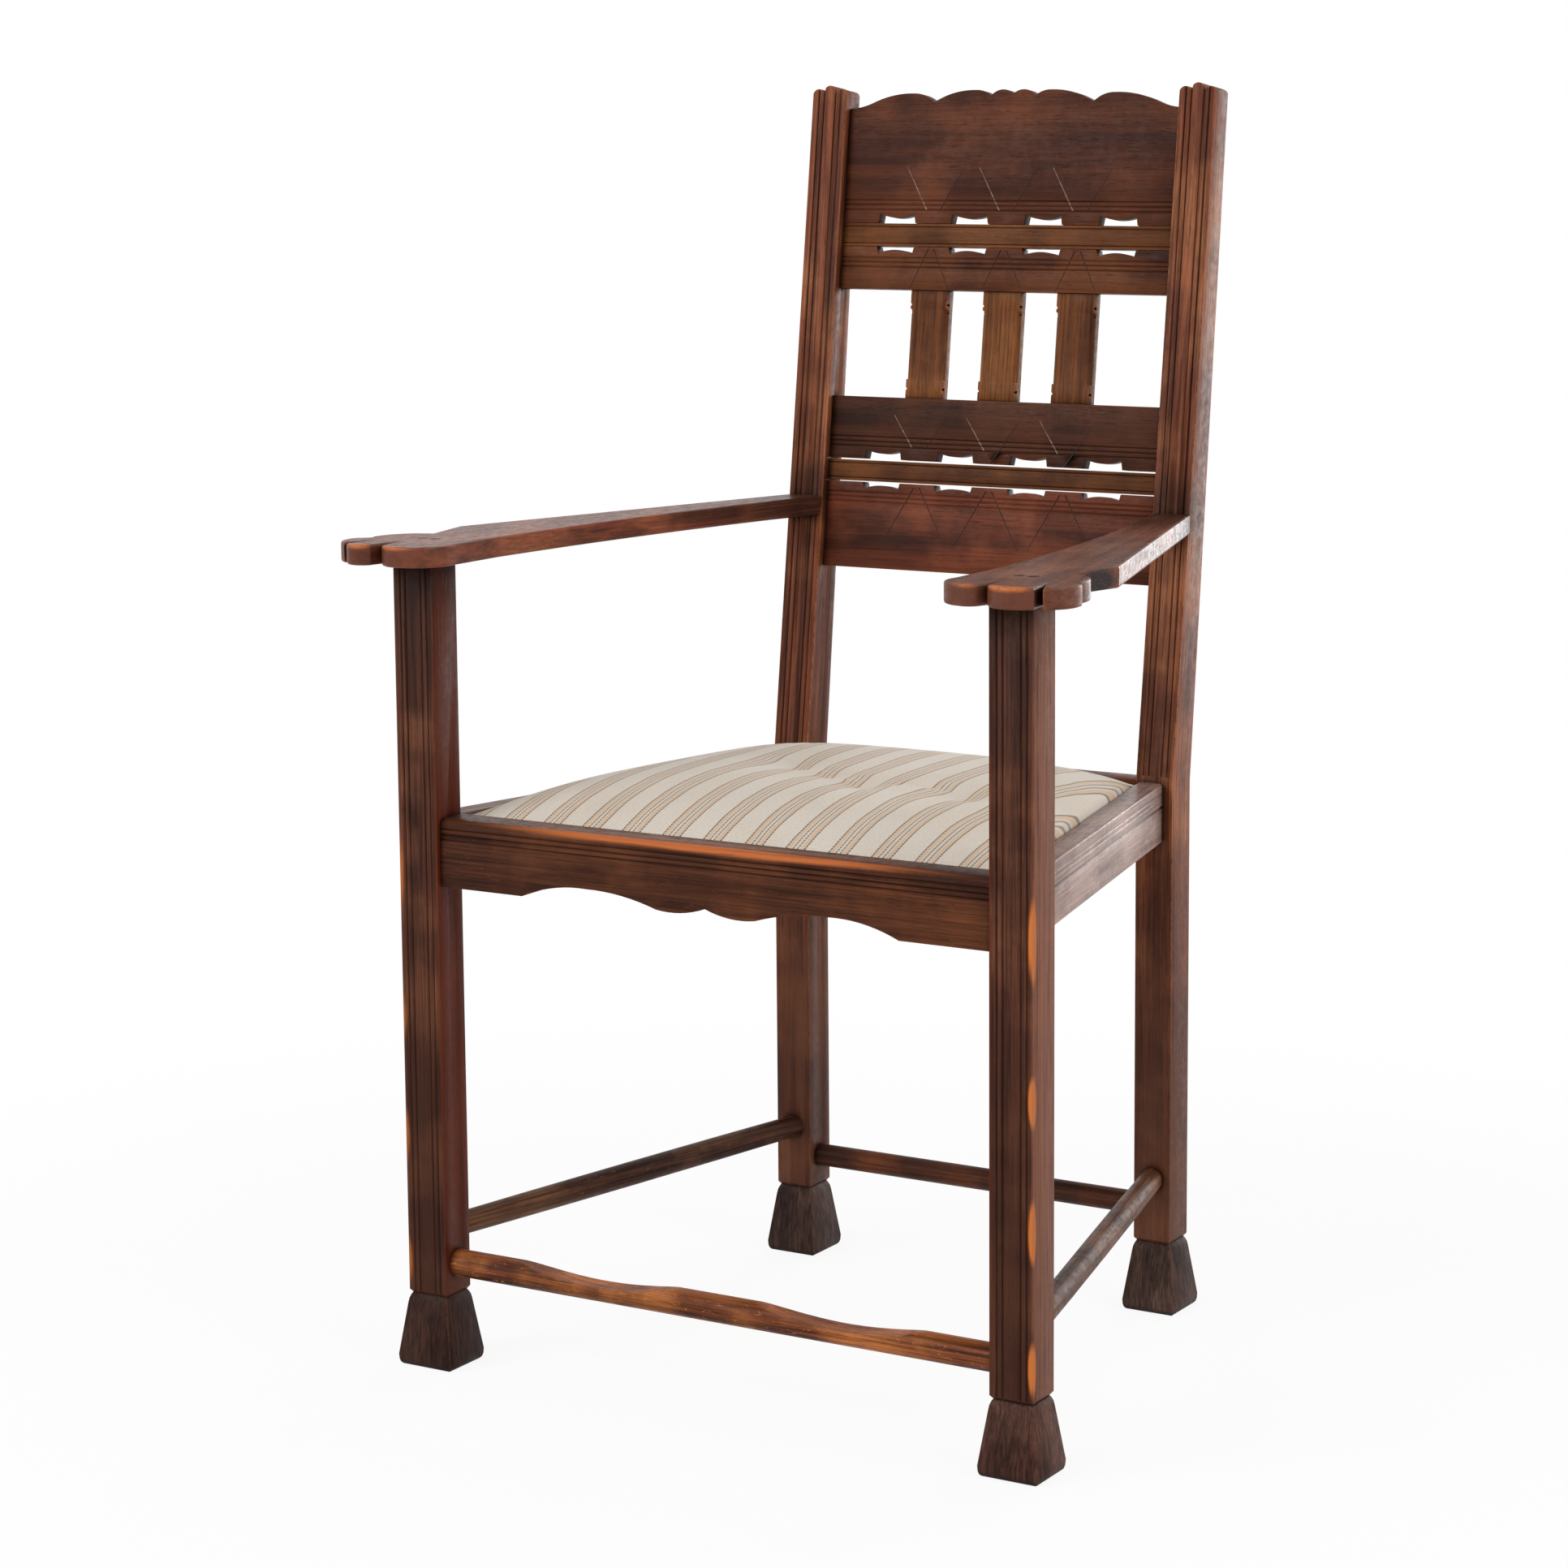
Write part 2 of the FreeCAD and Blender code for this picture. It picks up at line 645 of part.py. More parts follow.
def foot_pin(name, x, y, play, room):
    """Dowel between a foot and its leg, or the bore for it."""
    half = size("foot_pin_length") / 2 + room
    return pin(name, size("foot_pin_radius") + play, half * 2, (x, y, size("foot_height") - half),
               Vector(0, 0, 1))


def feet():
    """Four flared foot blocks and the dowels that hold them."""
    room = size("glue_room")
    front = foot_block("front_foot_blank", (LEG_INNER, LEG_OUTER), (FACE, LEG_BACK))
    front_bore = foot_pin("front_foot_bore", LEG_X, LEG_Y, PLAY, room)
    handed("front_foot", cut("front_foot_cut", front, [front_bore]))
    rear = foot_block("rear_foot_blank", (POST_INNER, POST_OUTER), (POST_FACE, POST_BACK))
    rear_bore = foot_pin("rear_foot_bore", POST_X, POST_Y, PLAY, room)
    handed("rear_foot", cut("rear_foot_cut", rear, [rear_bore]))
    pins = []
    for name, x, y in (("front", LEG_X, LEG_Y), ("rear", POST_X, POST_Y)):
        right = foot_pin(f"{name}_foot_dowel", x, y, 0, Size(0))
        pins += [right, mirrored(f"{name}_foot_dowel_left", right)]
    node("foot_dowels", group("foot_dowel_group", pins))


def post_profile():
    """Side view of a post, from its foot to its raked top."""
    bend = size("bend_height")
    length = size("raked_length")
    top_y = POST_FACE + length * SIN_RAKE
    top_z = bend + length * COS_RAKE
    half_tan = Size("tan(Sizes.rake / 2)")
    return [(POST_FACE, size("foot_height")), (POST_FACE, bend), (top_y, top_z),
            (top_y + size("post_top_depth") * COS_RAKE, top_z - size("post_top_depth") * SIN_RAKE),
            (POST_BACK, bend - size("post_depth") * half_tan), (POST_BACK, size("foot_height"))]


def post_front_prism():
    """Front view of a post with its three-lobed top, carried through the wood."""
    width = float(size("post_width"))
    top = float(size("raked_length"))
    drop = float(size("lobe_drop"))
    below = -float(size("bend_height"))
    side = width / 3
    rise = side / 3
    valley = top - drop - rise
    steps = [((0, below),), ((width, below),),
             ((width, valley), (width - side / 2, top - drop), (width - side, valley)),
             ((width - side, top - rise), (width / 2, top), (side, top - rise)),
             ((side, valley), (side / 2, top - drop), (0, valley))]
    deep = 3 * float(size("post_depth"))
    prism_shape = plate(steps, 2 * deep)
    prism_shape.translate(Vector(0, 0, -2 * deep + deep / 3))
    return solid("post_front_prism", prism_shape, back_frame(POST_INNER))


def board_levels():
    """Lower and upper edge of each back board along the lean, from the crest down."""
    crest_low = size("raked_length") - size("crest_drop")
    crest = (crest_low, crest_low + size("crest_height"))
    upper_top = crest[0] - size("slat_room")
    upper_slat = (upper_top + size("closed_slit"), crest[0] - size("closed_slit"))
    upper = (upper_top - size("upper_board_height"), upper_top)
    lower_top = upper[0] - size("splat_length")
    lower = (lower_top - size("lower_board_height"), lower_top)
    bottom_top = lower[0] - size("slat_room")
    lower_slat = (bottom_top + size("low_slit"), lower[0] - size("open_slit"))
    bottom = (bottom_top - size("bottom_board_height"), bottom_top)
    return {"crest_board": crest, "upper_back_slat": upper_slat, "upper_back_board": upper,
            "lower_back_board": lower, "lower_back_slat": lower_slat, "bottom_back_board": bottom}


def board_tenon(name, levels, play, room):
    """Right-hand tenon of a back board, or its mortise in the post."""
    shoulder = size("board_tenon_shoulder")
    end = POST_INNER + size("board_tenon_length") + room
    face = size("back_inset")
    return raked_box(name, (POST_INNER - OVER, end),
                     (levels[0] + shoulder - play, levels[1] - shoulder + play),
                     (face + shoulder - play, face + size("board_thick") - shoulder + play))


def tenoned(name, board):
    """A back board with its tenon at each end."""
    tenon = board_tenon(f"{name}_tenon", board_levels()[name], 0, Size(0))
    return joined(f"{name}_whole", [board, tenon, mirrored(f"{name}_tenon_left", tenon)])


def arm_dowel_pair(name, play, room):
    """Two dowels side by side from the arm into the post, or the bores for them."""
    z = (size("arm_underside") + ARM_TOP) / 2
    middle = POST_FACE + (z - size("bend_height")) * TAN_RAKE
    half = size("arm_dowel_length") / 2 + room
    pieces = []
    for index in range(2):
        x = POST_INNER + size("arm_dowel_inset") + size("arm_dowel_pitch") * index
        pieces.append(pin(f"{name}_{index}", size("arm_dowel_radius") + play, half * 2,
                          (x, middle - half, z), Vector(0, 1, 0)))
    return pieces


def rear_post():
    """Rear leg and back post in one, with its moulding and all its mortises."""
    blank = prism("post_side", "YZ", post_profile(), POST_INNER, POST_OUTER)
    shaped = common("post_shaped", blank, post_front_prism())
    room = size("glue_room")
    front, rear = side_stretcher_axis()
    rear_middle = (RAIL_REAR_IN + RAIL_REAR_OUT) / 2
    stretcher_base = Vector(float(POST_INNER), float(POST_Y), float(size("rear_stretcher_height")))
    tools = [
        foot_ease("rear_post_ease", (POST_INNER, POST_OUTER), (POST_FACE, POST_BACK)),
        cross_tenon("rear_mortise", POST_INNER, rear_middle, size("rear_rail_height"), PLAY, room),
        side_tenon("rear_side_mortise", POST_FACE, 1, PLAY, room),
        socket("rear_stretcher_socket", stretcher_base, Vector(1, 0, 0), PLAY, room),
        socket("rear_side_socket", rear, rear - front, PLAY, room),
        foot_pin("rear_pin_bore", POST_X, POST_Y, PLAY, room),
    ]
    tools += arm_dowel_pair("post_dowel_bore", PLAY, room)
    for name, levels in board_levels().items():
        tools.append(board_tenon(f"{name}_mortise", levels, PLAY, room))
    bars = []
    start = float(size("reed_foot"))
    length = float(size("raked_length")) - start + 10
    for offset in reeds(size("post_width")):
        bar = groove_bar(length, float(size("groove_width")), float(size("groove_depth")))
        bar.rotate(Vector(), Vector(0, 0, 1), 90)
        bar.translate(Vector(float(offset), start, 0))
        bars.append(bar)
    tools.append(solid("post_reeds", Part.makeCompound(bars), back_frame(POST_INNER)))
    handed("rear_post", cut("rear_post_cut", shaped, tools))


def notch_steps(level, side, middle, sign):
    """Four hourglass cut-outs along a board's edge, from left to right."""
    half = float(size("notch_width")) / 2
    pitch = float(size("notch_pitch"))
    flare = float(size("notch_flare"))
    steps = []
    for centre in (-1.5 * pitch, -0.5 * pitch, 0.5 * pitch, 1.5 * pitch):
        deep = level + sign * side
        steps.append(((centre - half - flare, level),))
        steps.append(((centre - half, deep), (centre, level + sign * middle), (centre + half, deep)))
        steps.append(((centre + half + flare, level),))
    return steps


def reversed_steps(steps):
    """The same outline steps in the other direction."""
    return [tuple(reversed(step)) for step in reversed(steps)]


def crest_top(ends):
    """Scrolled top of the crest board, from right to left."""
    hump = float(size("crest_hump"))
    inner = float(POST_INNER)
    right = [((inner, ends), (0.93 * inner, ends + 0.09 * hump), (0.86 * inner, ends + 0.31 * hump)),
             ((0.86 * inner, ends + 0.31 * hump), (0.74 * inner, ends + 0.7 * hump),
              (0.603 * inner, ends + 0.82 * hump)),
             ((0.603 * inner, ends + 0.82 * hump), (0.533 * inner, ends + 0.69 * hump),
              (0.479 * inner, ends + 0.34 * hump)),
             ((0.479 * inner, ends + 0.34 * hump), (0.352 * inner, ends + 0.85 * hump),
              (0.23 * inner, ends + 0.98 * hump)),
             ((0.23 * inner, ends + 0.98 * hump), (0.176 * inner, ends + 0.91 * hump),
              (0.133 * inner, ends + 0.68 * hump)),
             ((0.133 * inner, ends + 0.68 * hump), (0.061 * inner, ends + hump), (0, ends + 0.77 * hump))]
    left = reversed_steps([tuple((-x, y) for x, y in step) for step in right])
    return right + left


def back_board(name, line, bottom=None, top=None):
    """One wide board of the back: outline, three lines and a tenon at each end."""
    low, high = (float(level) for level in board_levels()[name])
    inner = float(POST_INNER)
    steps = [((-inner, low),)]
    if bottom:
        steps += notch_steps(low, float(bottom[0]), float(bottom[1]), 1)
    steps.append(((inner, low),))
    if name == "crest_board":
        steps += crest_top(high)
    else:
        steps.append(((inner, high),))
        if top:
            steps += reversed_steps(notch_steps(high, float(top[0]), float(top[1]), -1))
        steps.append(((-inner, high),))
    thick = float(size("board_thick"))
    shape = plate(steps, thick)
    shape.translate(Vector(0, 0, -thick))
    for count in range(3):
        bar = groove_bar(2 * inner + 2, float(size("line_width")), float(size("line_depth")))
        bar.translate(Vector(-inner - 1, low + float(size(line) + size("line_pitch") * count), 0))
        shape = shape.cut(bar)
    whole = tenoned(name, solid(f"{name}_blank", shape, back_frame(0, 0, size("back_inset"))))
    mortises = splat_mortises(name)
    node(name, cut(f"{name}_cut", whole, mortises) if mortises else whole)


def splat_mortises(name):
    """Mortises for the splats in the board above or below them."""
    if name not in ("upper_back_board", "lower_back_board"):
        return []
    return [splat_tenon(f"{name}_splat_mortise_{index}", index, PLAY, size("glue_room"))
            for index in (-1, 0, 1)]


def splat_tenon(name, index, play, room):
    """Tenons at both ends of a splat, or their mortises, as one bar."""
    shoulder = size("board_tenon_shoulder")
    middle = size("splat_pitch") * index
    half = size("splat_width") / 2 - shoulder + play
    low = board_levels()["lower_back_board"][1] - size("splat_tenon") - room
    high = board_levels()["upper_back_board"][0] + size("splat_tenon") + room
    face = size("back_inset") + size("splat_inset")
    return raked_box(name, (middle - half, middle + half), (low, high),
                     (face + shoulder - play, face + size("splat_thick") - shoulder + play))


def splats():
    """Three splats with stopped chamfers between the two pairs of boards."""
    low = board_levels()["lower_back_board"][1]
    high = board_levels()["upper_back_board"][0]
    face = size("back_inset") + size("splat_inset")
    half = size("splat_width") / 2
    stop = size("splat_chamfer_stop")
    bevel = size("splat_chamfer")
    for index, name in ((-1, "left"), (0, "centre"), (1, "right")):
        middle = size("splat_pitch") * index
        bar = raked_box(f"splat_{name}_bar", (middle - half, middle + half), (low, high),
                        (face, face + size("splat_thick")))
        tenon = splat_tenon(f"splat_{name}_tenon", index, 0, Size(0))
        whole = joined(f"splat_{name}_whole", [bar, tenon])
        bevels = []
        reach = float(bevel)
        for sign in (-1, 1):
            corners = [Vector(0, 0, 0), Vector(-sign * reach, 0, 0), Vector(0, 0, -reach)]
            face_shape = Part.Face(Part.makePolygon(corners + corners[:1]))
            wedge = face_shape.extrude(Vector(0, float(high - low - stop * 2), 0))
            wedge.translate(Vector(float(middle) + sign * float(half), float(low + stop), 0))
            bevels.append(wedge)
        cutter = solid(f"splat_{name}_bevels", Part.makeCompound(bevels), back_frame(0, 0, face))
        node(f"splat_{name}", cut(f"splat_{name}_cut", whole, [cutter]))


def back_slat(name):
    """Narrow slat between two boards."""
    levels = board_levels()[name]
    face = size("back_inset")
    bar = raked_box(f"{name}_bar", (-POST_INNER, POST_INNER), levels, (face, face + size("board_thick")))
    inner = float(POST_INNER)
    lines = []
    for place in (levels[0] + size("slat_line_inset"), levels[1] - size("slat_line_inset")):
        line = groove_bar(2 * inner, float(size("slat_line_width")), float(size("slat_line_depth")))
        line.translate(Vector(-inner, float(place), 0))
        lines.append(line)
    cutter = solid(f"{name}_lines", Part.makeCompound(lines), back_frame(0, 0, face))
    node(name, tenoned(name, cut(f"{name}_lined", bar, [cutter])))


def back():
    """All boards, slats and splats of the back."""
    deep = (size("notch_side"), size("notch_middle"))
    low = (size("low_notch_side"), size("low_notch_middle"))
    back_board("crest_board", "crest_line", bottom=deep)
    back_slat("upper_back_slat")
    back_board("upper_back_board", "upper_line", top=low)
    splats()
    back_board("lower_back_board", "lower_line", bottom=deep)
    back_slat("lower_back_slat")
    back_board("bottom_back_board", "bottom_line", top=low)


def rail_section(thick, height, rounding, grooves):
    """Section of a rail seen along it: Y into the chair from its outer face, Z down from its top."""
    rounding = float(rounding)
    arc_mid = rounding * (1 - math.sqrt(0.5))
    steps = [((float(thick), 0),), ((rounding, 0), (arc_mid, -arc_mid), (0, -rounding))]
    for drop, width, depth in grooves:
        middle = -float(drop)
        half = float(width) / 2
        steps += [((0, middle + half),), ((float(depth), middle),), ((0, middle - half),)]
    steps += [((0, -float(height)),), ((float(thick), -float(height)),)]
    return Part.Face(wire_of(steps))


def rail_screws(name, places, radius, length):
    """Straight pins along given axes as one cutter."""
    pieces = [Part.makeCylinder(float(radius), float(length), base, direction) for base, direction in places]
    return solid(name, Part.makeCompound(pieces))


def apron_outline():
    """Front view of the front rail, with its scrolled lower edge, from the left end."""
    inner = float(LEG_INNER)
    top = float(RAIL_TOP)
    low = top - float(size("front_rail_height"))
    rise = float(size("apron_rise"))
    cusp = float(size("apron_cusp"))
    right = [((0, low + cusp), (0.1 * inner, low + 1.2), (0.18 * inner, low + 2)),
             ((0.18 * inner, low + 2), (0.29 * inner, low + 0.75 * rise), (0.44 * inner, low + rise)),
             ((0.44 * inner, low + rise), (0.58 * inner, low + 0.74 * rise), (0.685 * inner, low)),
             ((inner, low),), ((inner, top),)]
    left = reversed_steps([tuple((-x, z) for x, z in step) for step in right])
    return right + left


def front_rail():
    """Front seat rail: reeded face, rounded top edge and scrolled lower edge."""
    inner = float(LEG_INNER)
    grooves = [(size("rail_groove_drop") + size("rail_groove_pitch") * count, size("groove_width"),
                size("groove_depth")) for count in range(3)]
    section = rail_section(size("front_rail_thick"), size("front_rail_height"), size("rail_round"), grooves)
    section.rotate(Vector(), Vector(1, 1, 1), 120)
    bar = section.extrude(Vector(2 * inner, 0, 0))
    bar.translate(Vector(-inner, float(RAIL_FRONT), float(RAIL_TOP)))
    apron = plate(apron_outline(), size("front_rail_thick") + 2)
    apron.rotate(Vector(), Vector(1, 0, 0), 90)
    apron.translate(Vector(0, float(RAIL_FRONT_IN) + 1, 0))
    blank = solid("front_rail_blank", bar.common(apron))
    middle = RAIL_FRONT + size("front_rail_thick") / 2
    tenon = cross_tenon("front_rail_tenon", LEG_INNER, middle, size("front_rail_height"), 0, Size(0))
    whole = joined("front_rail_whole", [blank, tenon, mirrored("front_rail_tenon_left", tenon)])
    pilots = block_pilots("front_rail_pilots", "front", 0)
    node("front_seat_rail", cut("front_rail_cut", whole, pilots))


def rear_rail():
    """Plain rear seat rail."""
    low = RAIL_TOP - size("rear_rail_height")
    bar = box("rear_rail_bar", (-POST_INNER, POST_INNER), (RAIL_REAR_IN, RAIL_REAR_OUT), (low, RAIL_TOP))
    middle = (RAIL_REAR_IN + RAIL_REAR_OUT) / 2
    tenon = cross_tenon("rear_rail_tenon", POST_INNER, middle, size("rear_rail_height"), 0, Size(0))
    whole = joined("rear_rail_whole", [bar, tenon, mirrored("rear_rail_tenon_left", tenon)])
    node("rear_seat_rail", cut("rear_rail_cut", whole, block_pilots("rear_rail_pilots", "rear", 0)))


def side_rails():
    """Side seat rails, closing in towards the back."""
    front = Vector(float(SIDE_X_FRONT), float(LEG_BACK), float(RAIL_TOP))
    rear = Vector(float(SIDE_X_REAR), float(POST_FACE), float(RAIL_TOP))
    run = rear - front
    lean = math.degrees(math.atan2(-run.x, run.y))
    fine = (size("fine_line_width"), size("fine_line_depth"))
    grooves = [(size("fine_line_drop"), *fine), (size("fine_line_drop") + size("fine_line_pitch"), *fine),
               (size("deep_groove_drop"), size("deep_groove_width"), size("deep_groove_depth"))]
    section = rail_section(size("side_rail_thick"), size("side_rail_height"), size("side_rail_round"),
                           grooves)
    section.rotate(Vector(), Vector(1, 1, 1), 120)
    section.rotate(Vector(), Vector(0, 0, 1), 90)
    spare = float(size("side_rail_thick"))
    section.translate(Vector(0, -spare, 0))
    bar = section.extrude(Vector(0, run.Length + 2 * spare, 0))
    bar.rotate(Vector(), Vector(0, 0, 1), lean)
    bar.translate(front)
    blank = solid("side_rail_stock", bar)
    wide = size("front_width")
    trim = box("side_rail_trim", (Size(0), wide), (LEG_BACK, POST_FACE),
               (RAIL_TOP - size("side_rail_height") - OVER, RAIL_TOP + OVER))
    tenons = [side_tenon("side_rail_front_tenon", LEG_BACK, -1, 0, Size(0)),
              side_tenon("side_rail_rear_tenon", POST_FACE, 1, 0, Size(0))]
    whole = joined("side_rail_whole", [common("side_rail_bar", blank, trim)] + tenons)
    pilots = (block_pilots("side_rail_front_pilots", "front", 1)
              + block_pilots("side_rail_rear_pilots", "rear", 1))
    handed("side_seat_rail", cut("side_rail_cut", whole, pilots))


def inner_side(y):
    """Inner face of the side rail at a given y."""
    return side_line(y) - SIDE_WIDE


def block_corners(end):
    """Plan of the right front or right rear corner block."""
    cutoff = size("block_corner_cut")
    if end == "front":
        wall = RAIL_FRONT_IN
        far = wall + size("front_block_along")
        start = inner_side(wall + cutoff)
        return [(start - size("front_block_across"), wall), (start - cutoff / 2, wall),
                (inner_side(wall + cutoff), wall + cutoff), (inner_side(far), far)]
    wall = RAIL_REAR_IN
    near = POST_FACE - cutoff * 1.4
    far = wall - size("rear_block_along")
    return [(POST_INNER - cutoff - size("rear_block_across"), wall), (inner_side(far), far),
            (inner_side(near), near), (POST_INNER - cutoff, wall)]


def block_screw_axes(end):
    """Base under the head and direction of a block's two screws, cross rail first."""
    corners = [Vector(float(x), float(y), 0) for x, y in block_corners(end)]
    level = float(BLOCK_TOP - size("corner_block_height") / 2)
    along_rail = [corners[0], corners[1]] if end == "front" else [corners[0], corners[3]]
    along_side = [corners[3], corners[2]] if end == "front" else [corners[1], corners[2]]
    sideways = Vector(float(POST_FACE - LEG_BACK), float(SIDE_X_FRONT - SIDE_X_REAR), 0).normalize()
    cross = Vector(0, -1 if end == "front" else 1, 0)
    axes = []
    for pair, direction, share in ((along_rail, cross, 0.55), (along_side, sideways, 0.55)):
        foot = pair[0] + (pair[1] - pair[0]) * share
        depth = float(size("block_screw_length")) * 0.55
        base = foot - direction * depth
        axes.append((Vector(base.x, base.y, level), direction))
    return axes


def block_pilots(name, end, which):
    """Screw holes of the corner blocks in one rail, on both sides for a cross rail."""
    base, direction = block_screw_axes(end)[which]
    places = [(base, direction)]
    if which == 0:
        places.append((Vector(-base.x, base.y, base.z), direction))
    length = size("block_screw_length") + size("glue_room")
    return [rail_screws(name, places, size("screw_radius") + PLAY, length)]


def corner_blocks():
    """Four corner blocks that stiffen the frame and carry the loose seat."""
    low = BLOCK_TOP - size("corner_block_height")
    for end in ("front", "rear"):
        block = prism(f"{end}_block_blank", "XY", block_corners(end), low, BLOCK_TOP)
        shank = rail_screws(f"{end}_block_shanks", block_screw_axes(end), size("screw_radius") + PLAY,
                            size("block_screw_length"))
        mouths = []
        for base, direction in block_screw_axes(end):
            floor = base + direction * float(size("screw_head_radius") * 2 - size("screw_radius") + PLAY)
            mouths.append(Part.makeCylinder(float(size("screw_head_radius") + PLAY * 2),
                                            float(size("front_block_along")), floor, direction * -1))
        sinks = solid(f"{end}_block_sinks", mouths[0].fuse(mouths[1]))
        handed(f"{end}_corner_block", cut(f"{end}_block_cut", block, [shank, sinks]))


def wood_screw(base, direction, length):
    """Countersunk wood screw with its flat head at the base point."""
    core = float(size("screw_radius"))
    head = float(size("screw_head_radius"))
    long = float(length)
    profile = [Vector(0, 0, 0), Vector(head, 0, 0), Vector(core, 0, head - core),
               Vector(core, 0, long - 3 * core), Vector(0, 0, long)]
    shape = Part.Face(Part.makePolygon(profile + profile[:1])).revolve(Vector(), Vector(0, 0, 1), 360)
    shape.Placement = Placement(base, Rotation(Vector(0, 0, 1), direction))
    return shape


def block_screws():
    """Eight screws of the corner blocks as one group."""
    screws = []
    for end in ("front", "rear"):
        for base, direction in block_screw_axes(end):
            start = base + direction * float(size("screw_head_radius"))
            long = float(size("block_screw_length") - size("screw_head_radius"))
            screws.append(wood_screw(start, direction, long))
            screws.append(screws[-1].mirror(Vector(), Vector(1, 0, 0)))
    node("corner_block_screws", solid("corner_block_screw_group", Part.makeCompound(screws)))


def arm_outline(head):
    """Plan of an arm as on the right: lobed head, shouldered waist and taper to the post."""
    leg = float(LEG_X)
    face = float(FACE)
    steps = [tuple((leg + x, face + y) for x, y in step) for step in head]
    end = float(POST_FACE) + (float(ARM_TOP - size("bend_height"))) * float(TAN_RAKE) + 2
    inner = (float(POST_INNER), end)
    waist = (leg + ARM_INNER_START[0], face + ARM_INNER_START[1])
    middle = ((inner[0] + waist[0]) / 2 + ARM_INNER_BOW, (inner[1] + waist[1]) / 2)
    return steps + [((float(POST_OUTER), end),), (inner, middle, waist)]


def eased_plate(steps, thick, easing):
    """Flat board over an outline with both faces' edges rounded off in two steps."""
    knee = easing * (1 - math.sqrt(0.5))
    rims = []
    for inset, level in ((easing, 0), (knee, knee), (0, easing), (0, thick - easing), (knee, thick - knee),
                         (easing, thick)):
        rim = inset_wire(steps, inset)
        rim.translate(Vector(0, 0, level))
        rims.append(rim)
    return Part.makeLoft(rims, True, True)


def arm_tools(side):
    """Cutters for an arm's raked end, dowel bores and screw holes."""
    post_side = raked_box(f"arm_end_cutter_{side}", (Size(0), size("front_width")),
                          (Size(0), size("raked_length")), (Size(0), size("front_width")))
    tools = [post_side] + arm_dowel_pair(f"arm_dowel_bore_{side}", PLAY, size("glue_room"))
    for index, (x, y) in enumerate(arm_screw_places()):
        tools.append(pin(f"arm_screw_hole_{side}_{index}", size("screw_radius") + PLAY,
                         size("arm_thick") * 2, (x, y, size("arm_underside") - size("arm_thick")),
                         Vector(0, 0, 1)))
        tools.append(pin(f"arm_plug_hole_{side}_{index}", size("plug_radius") + PLAY / 2,
                         size("plug_height") + size("screw_head_radius") + OVER,
                         (x, y, screw_seat() - size("screw_head_radius")), Vector(0, 0, 1)))
    return tools


def arms():
    """Both arms with rounded edges, butted on the posts and screwed to the front legs."""
    for side, head in ARM_HEADS.items():
        blank = eased_plate(arm_outline(head), float(size("arm_thick")), float(size("arm_round")))
        blank.translate(Vector(0, 0, float(size("arm_underside"))))
        whole = cut(f"arm_cut_{side}", solid(f"arm_blank_{side}", blank), arm_tools(side))
        node(f"arm_{side}", whole if side == "right" else mirrored("arm_left_mirror", whole))


def arm_fasteners():
    """Dowels, screws and plugs of both arms, one group each."""
    dowels = arm_dowel_pair("arm_dowel", 0, Size(0))
    node("arm_dowels", group("arm_dowel_group", dowels + [mirrored(f"{d.Name}_left", d) for d in dowels]))
    screws = []
    plugs = []
    for index, (x, y) in enumerate(arm_screw_places()):
        top = Vector(float(x), float(y), float(screw_seat()))
        screws.append(wood_screw(top, Vector(0, 0, -1), float(size("arm_screw_length"))))
        screws.append(screws[-1].mirror(Vector(), Vector(1, 0, 0)))
        plug = pin(f"arm_plug_{index}", size("plug_radius"), size("plug_height"), (x, y, screw_seat()),
                   Vector(0, 0, 1))
        plugs += [plug, mirrored(f"arm_plug_{index}_left", plug)]
    node("arm_screws", solid("arm_screw_group", Part.makeCompound(screws)))
    node("arm_plugs", group("arm_plug_group", plugs))


def turned_bar(radii, length):
    """Round bar along Z that tapers between evenly spaced radii."""
    count = len(radii) - 1
    points = [Vector(float(radius), 0, length * index / count) for index, radius in enumerate(radii)]
    profile = [Vector(0, 0, 0)] + points + [Vector(0, 0, length), Vector(0, 0, 0)]
    return Part.Face(Part.makePolygon(profile)).revolve(Vector(), Vector(0, 0, 1), 360)


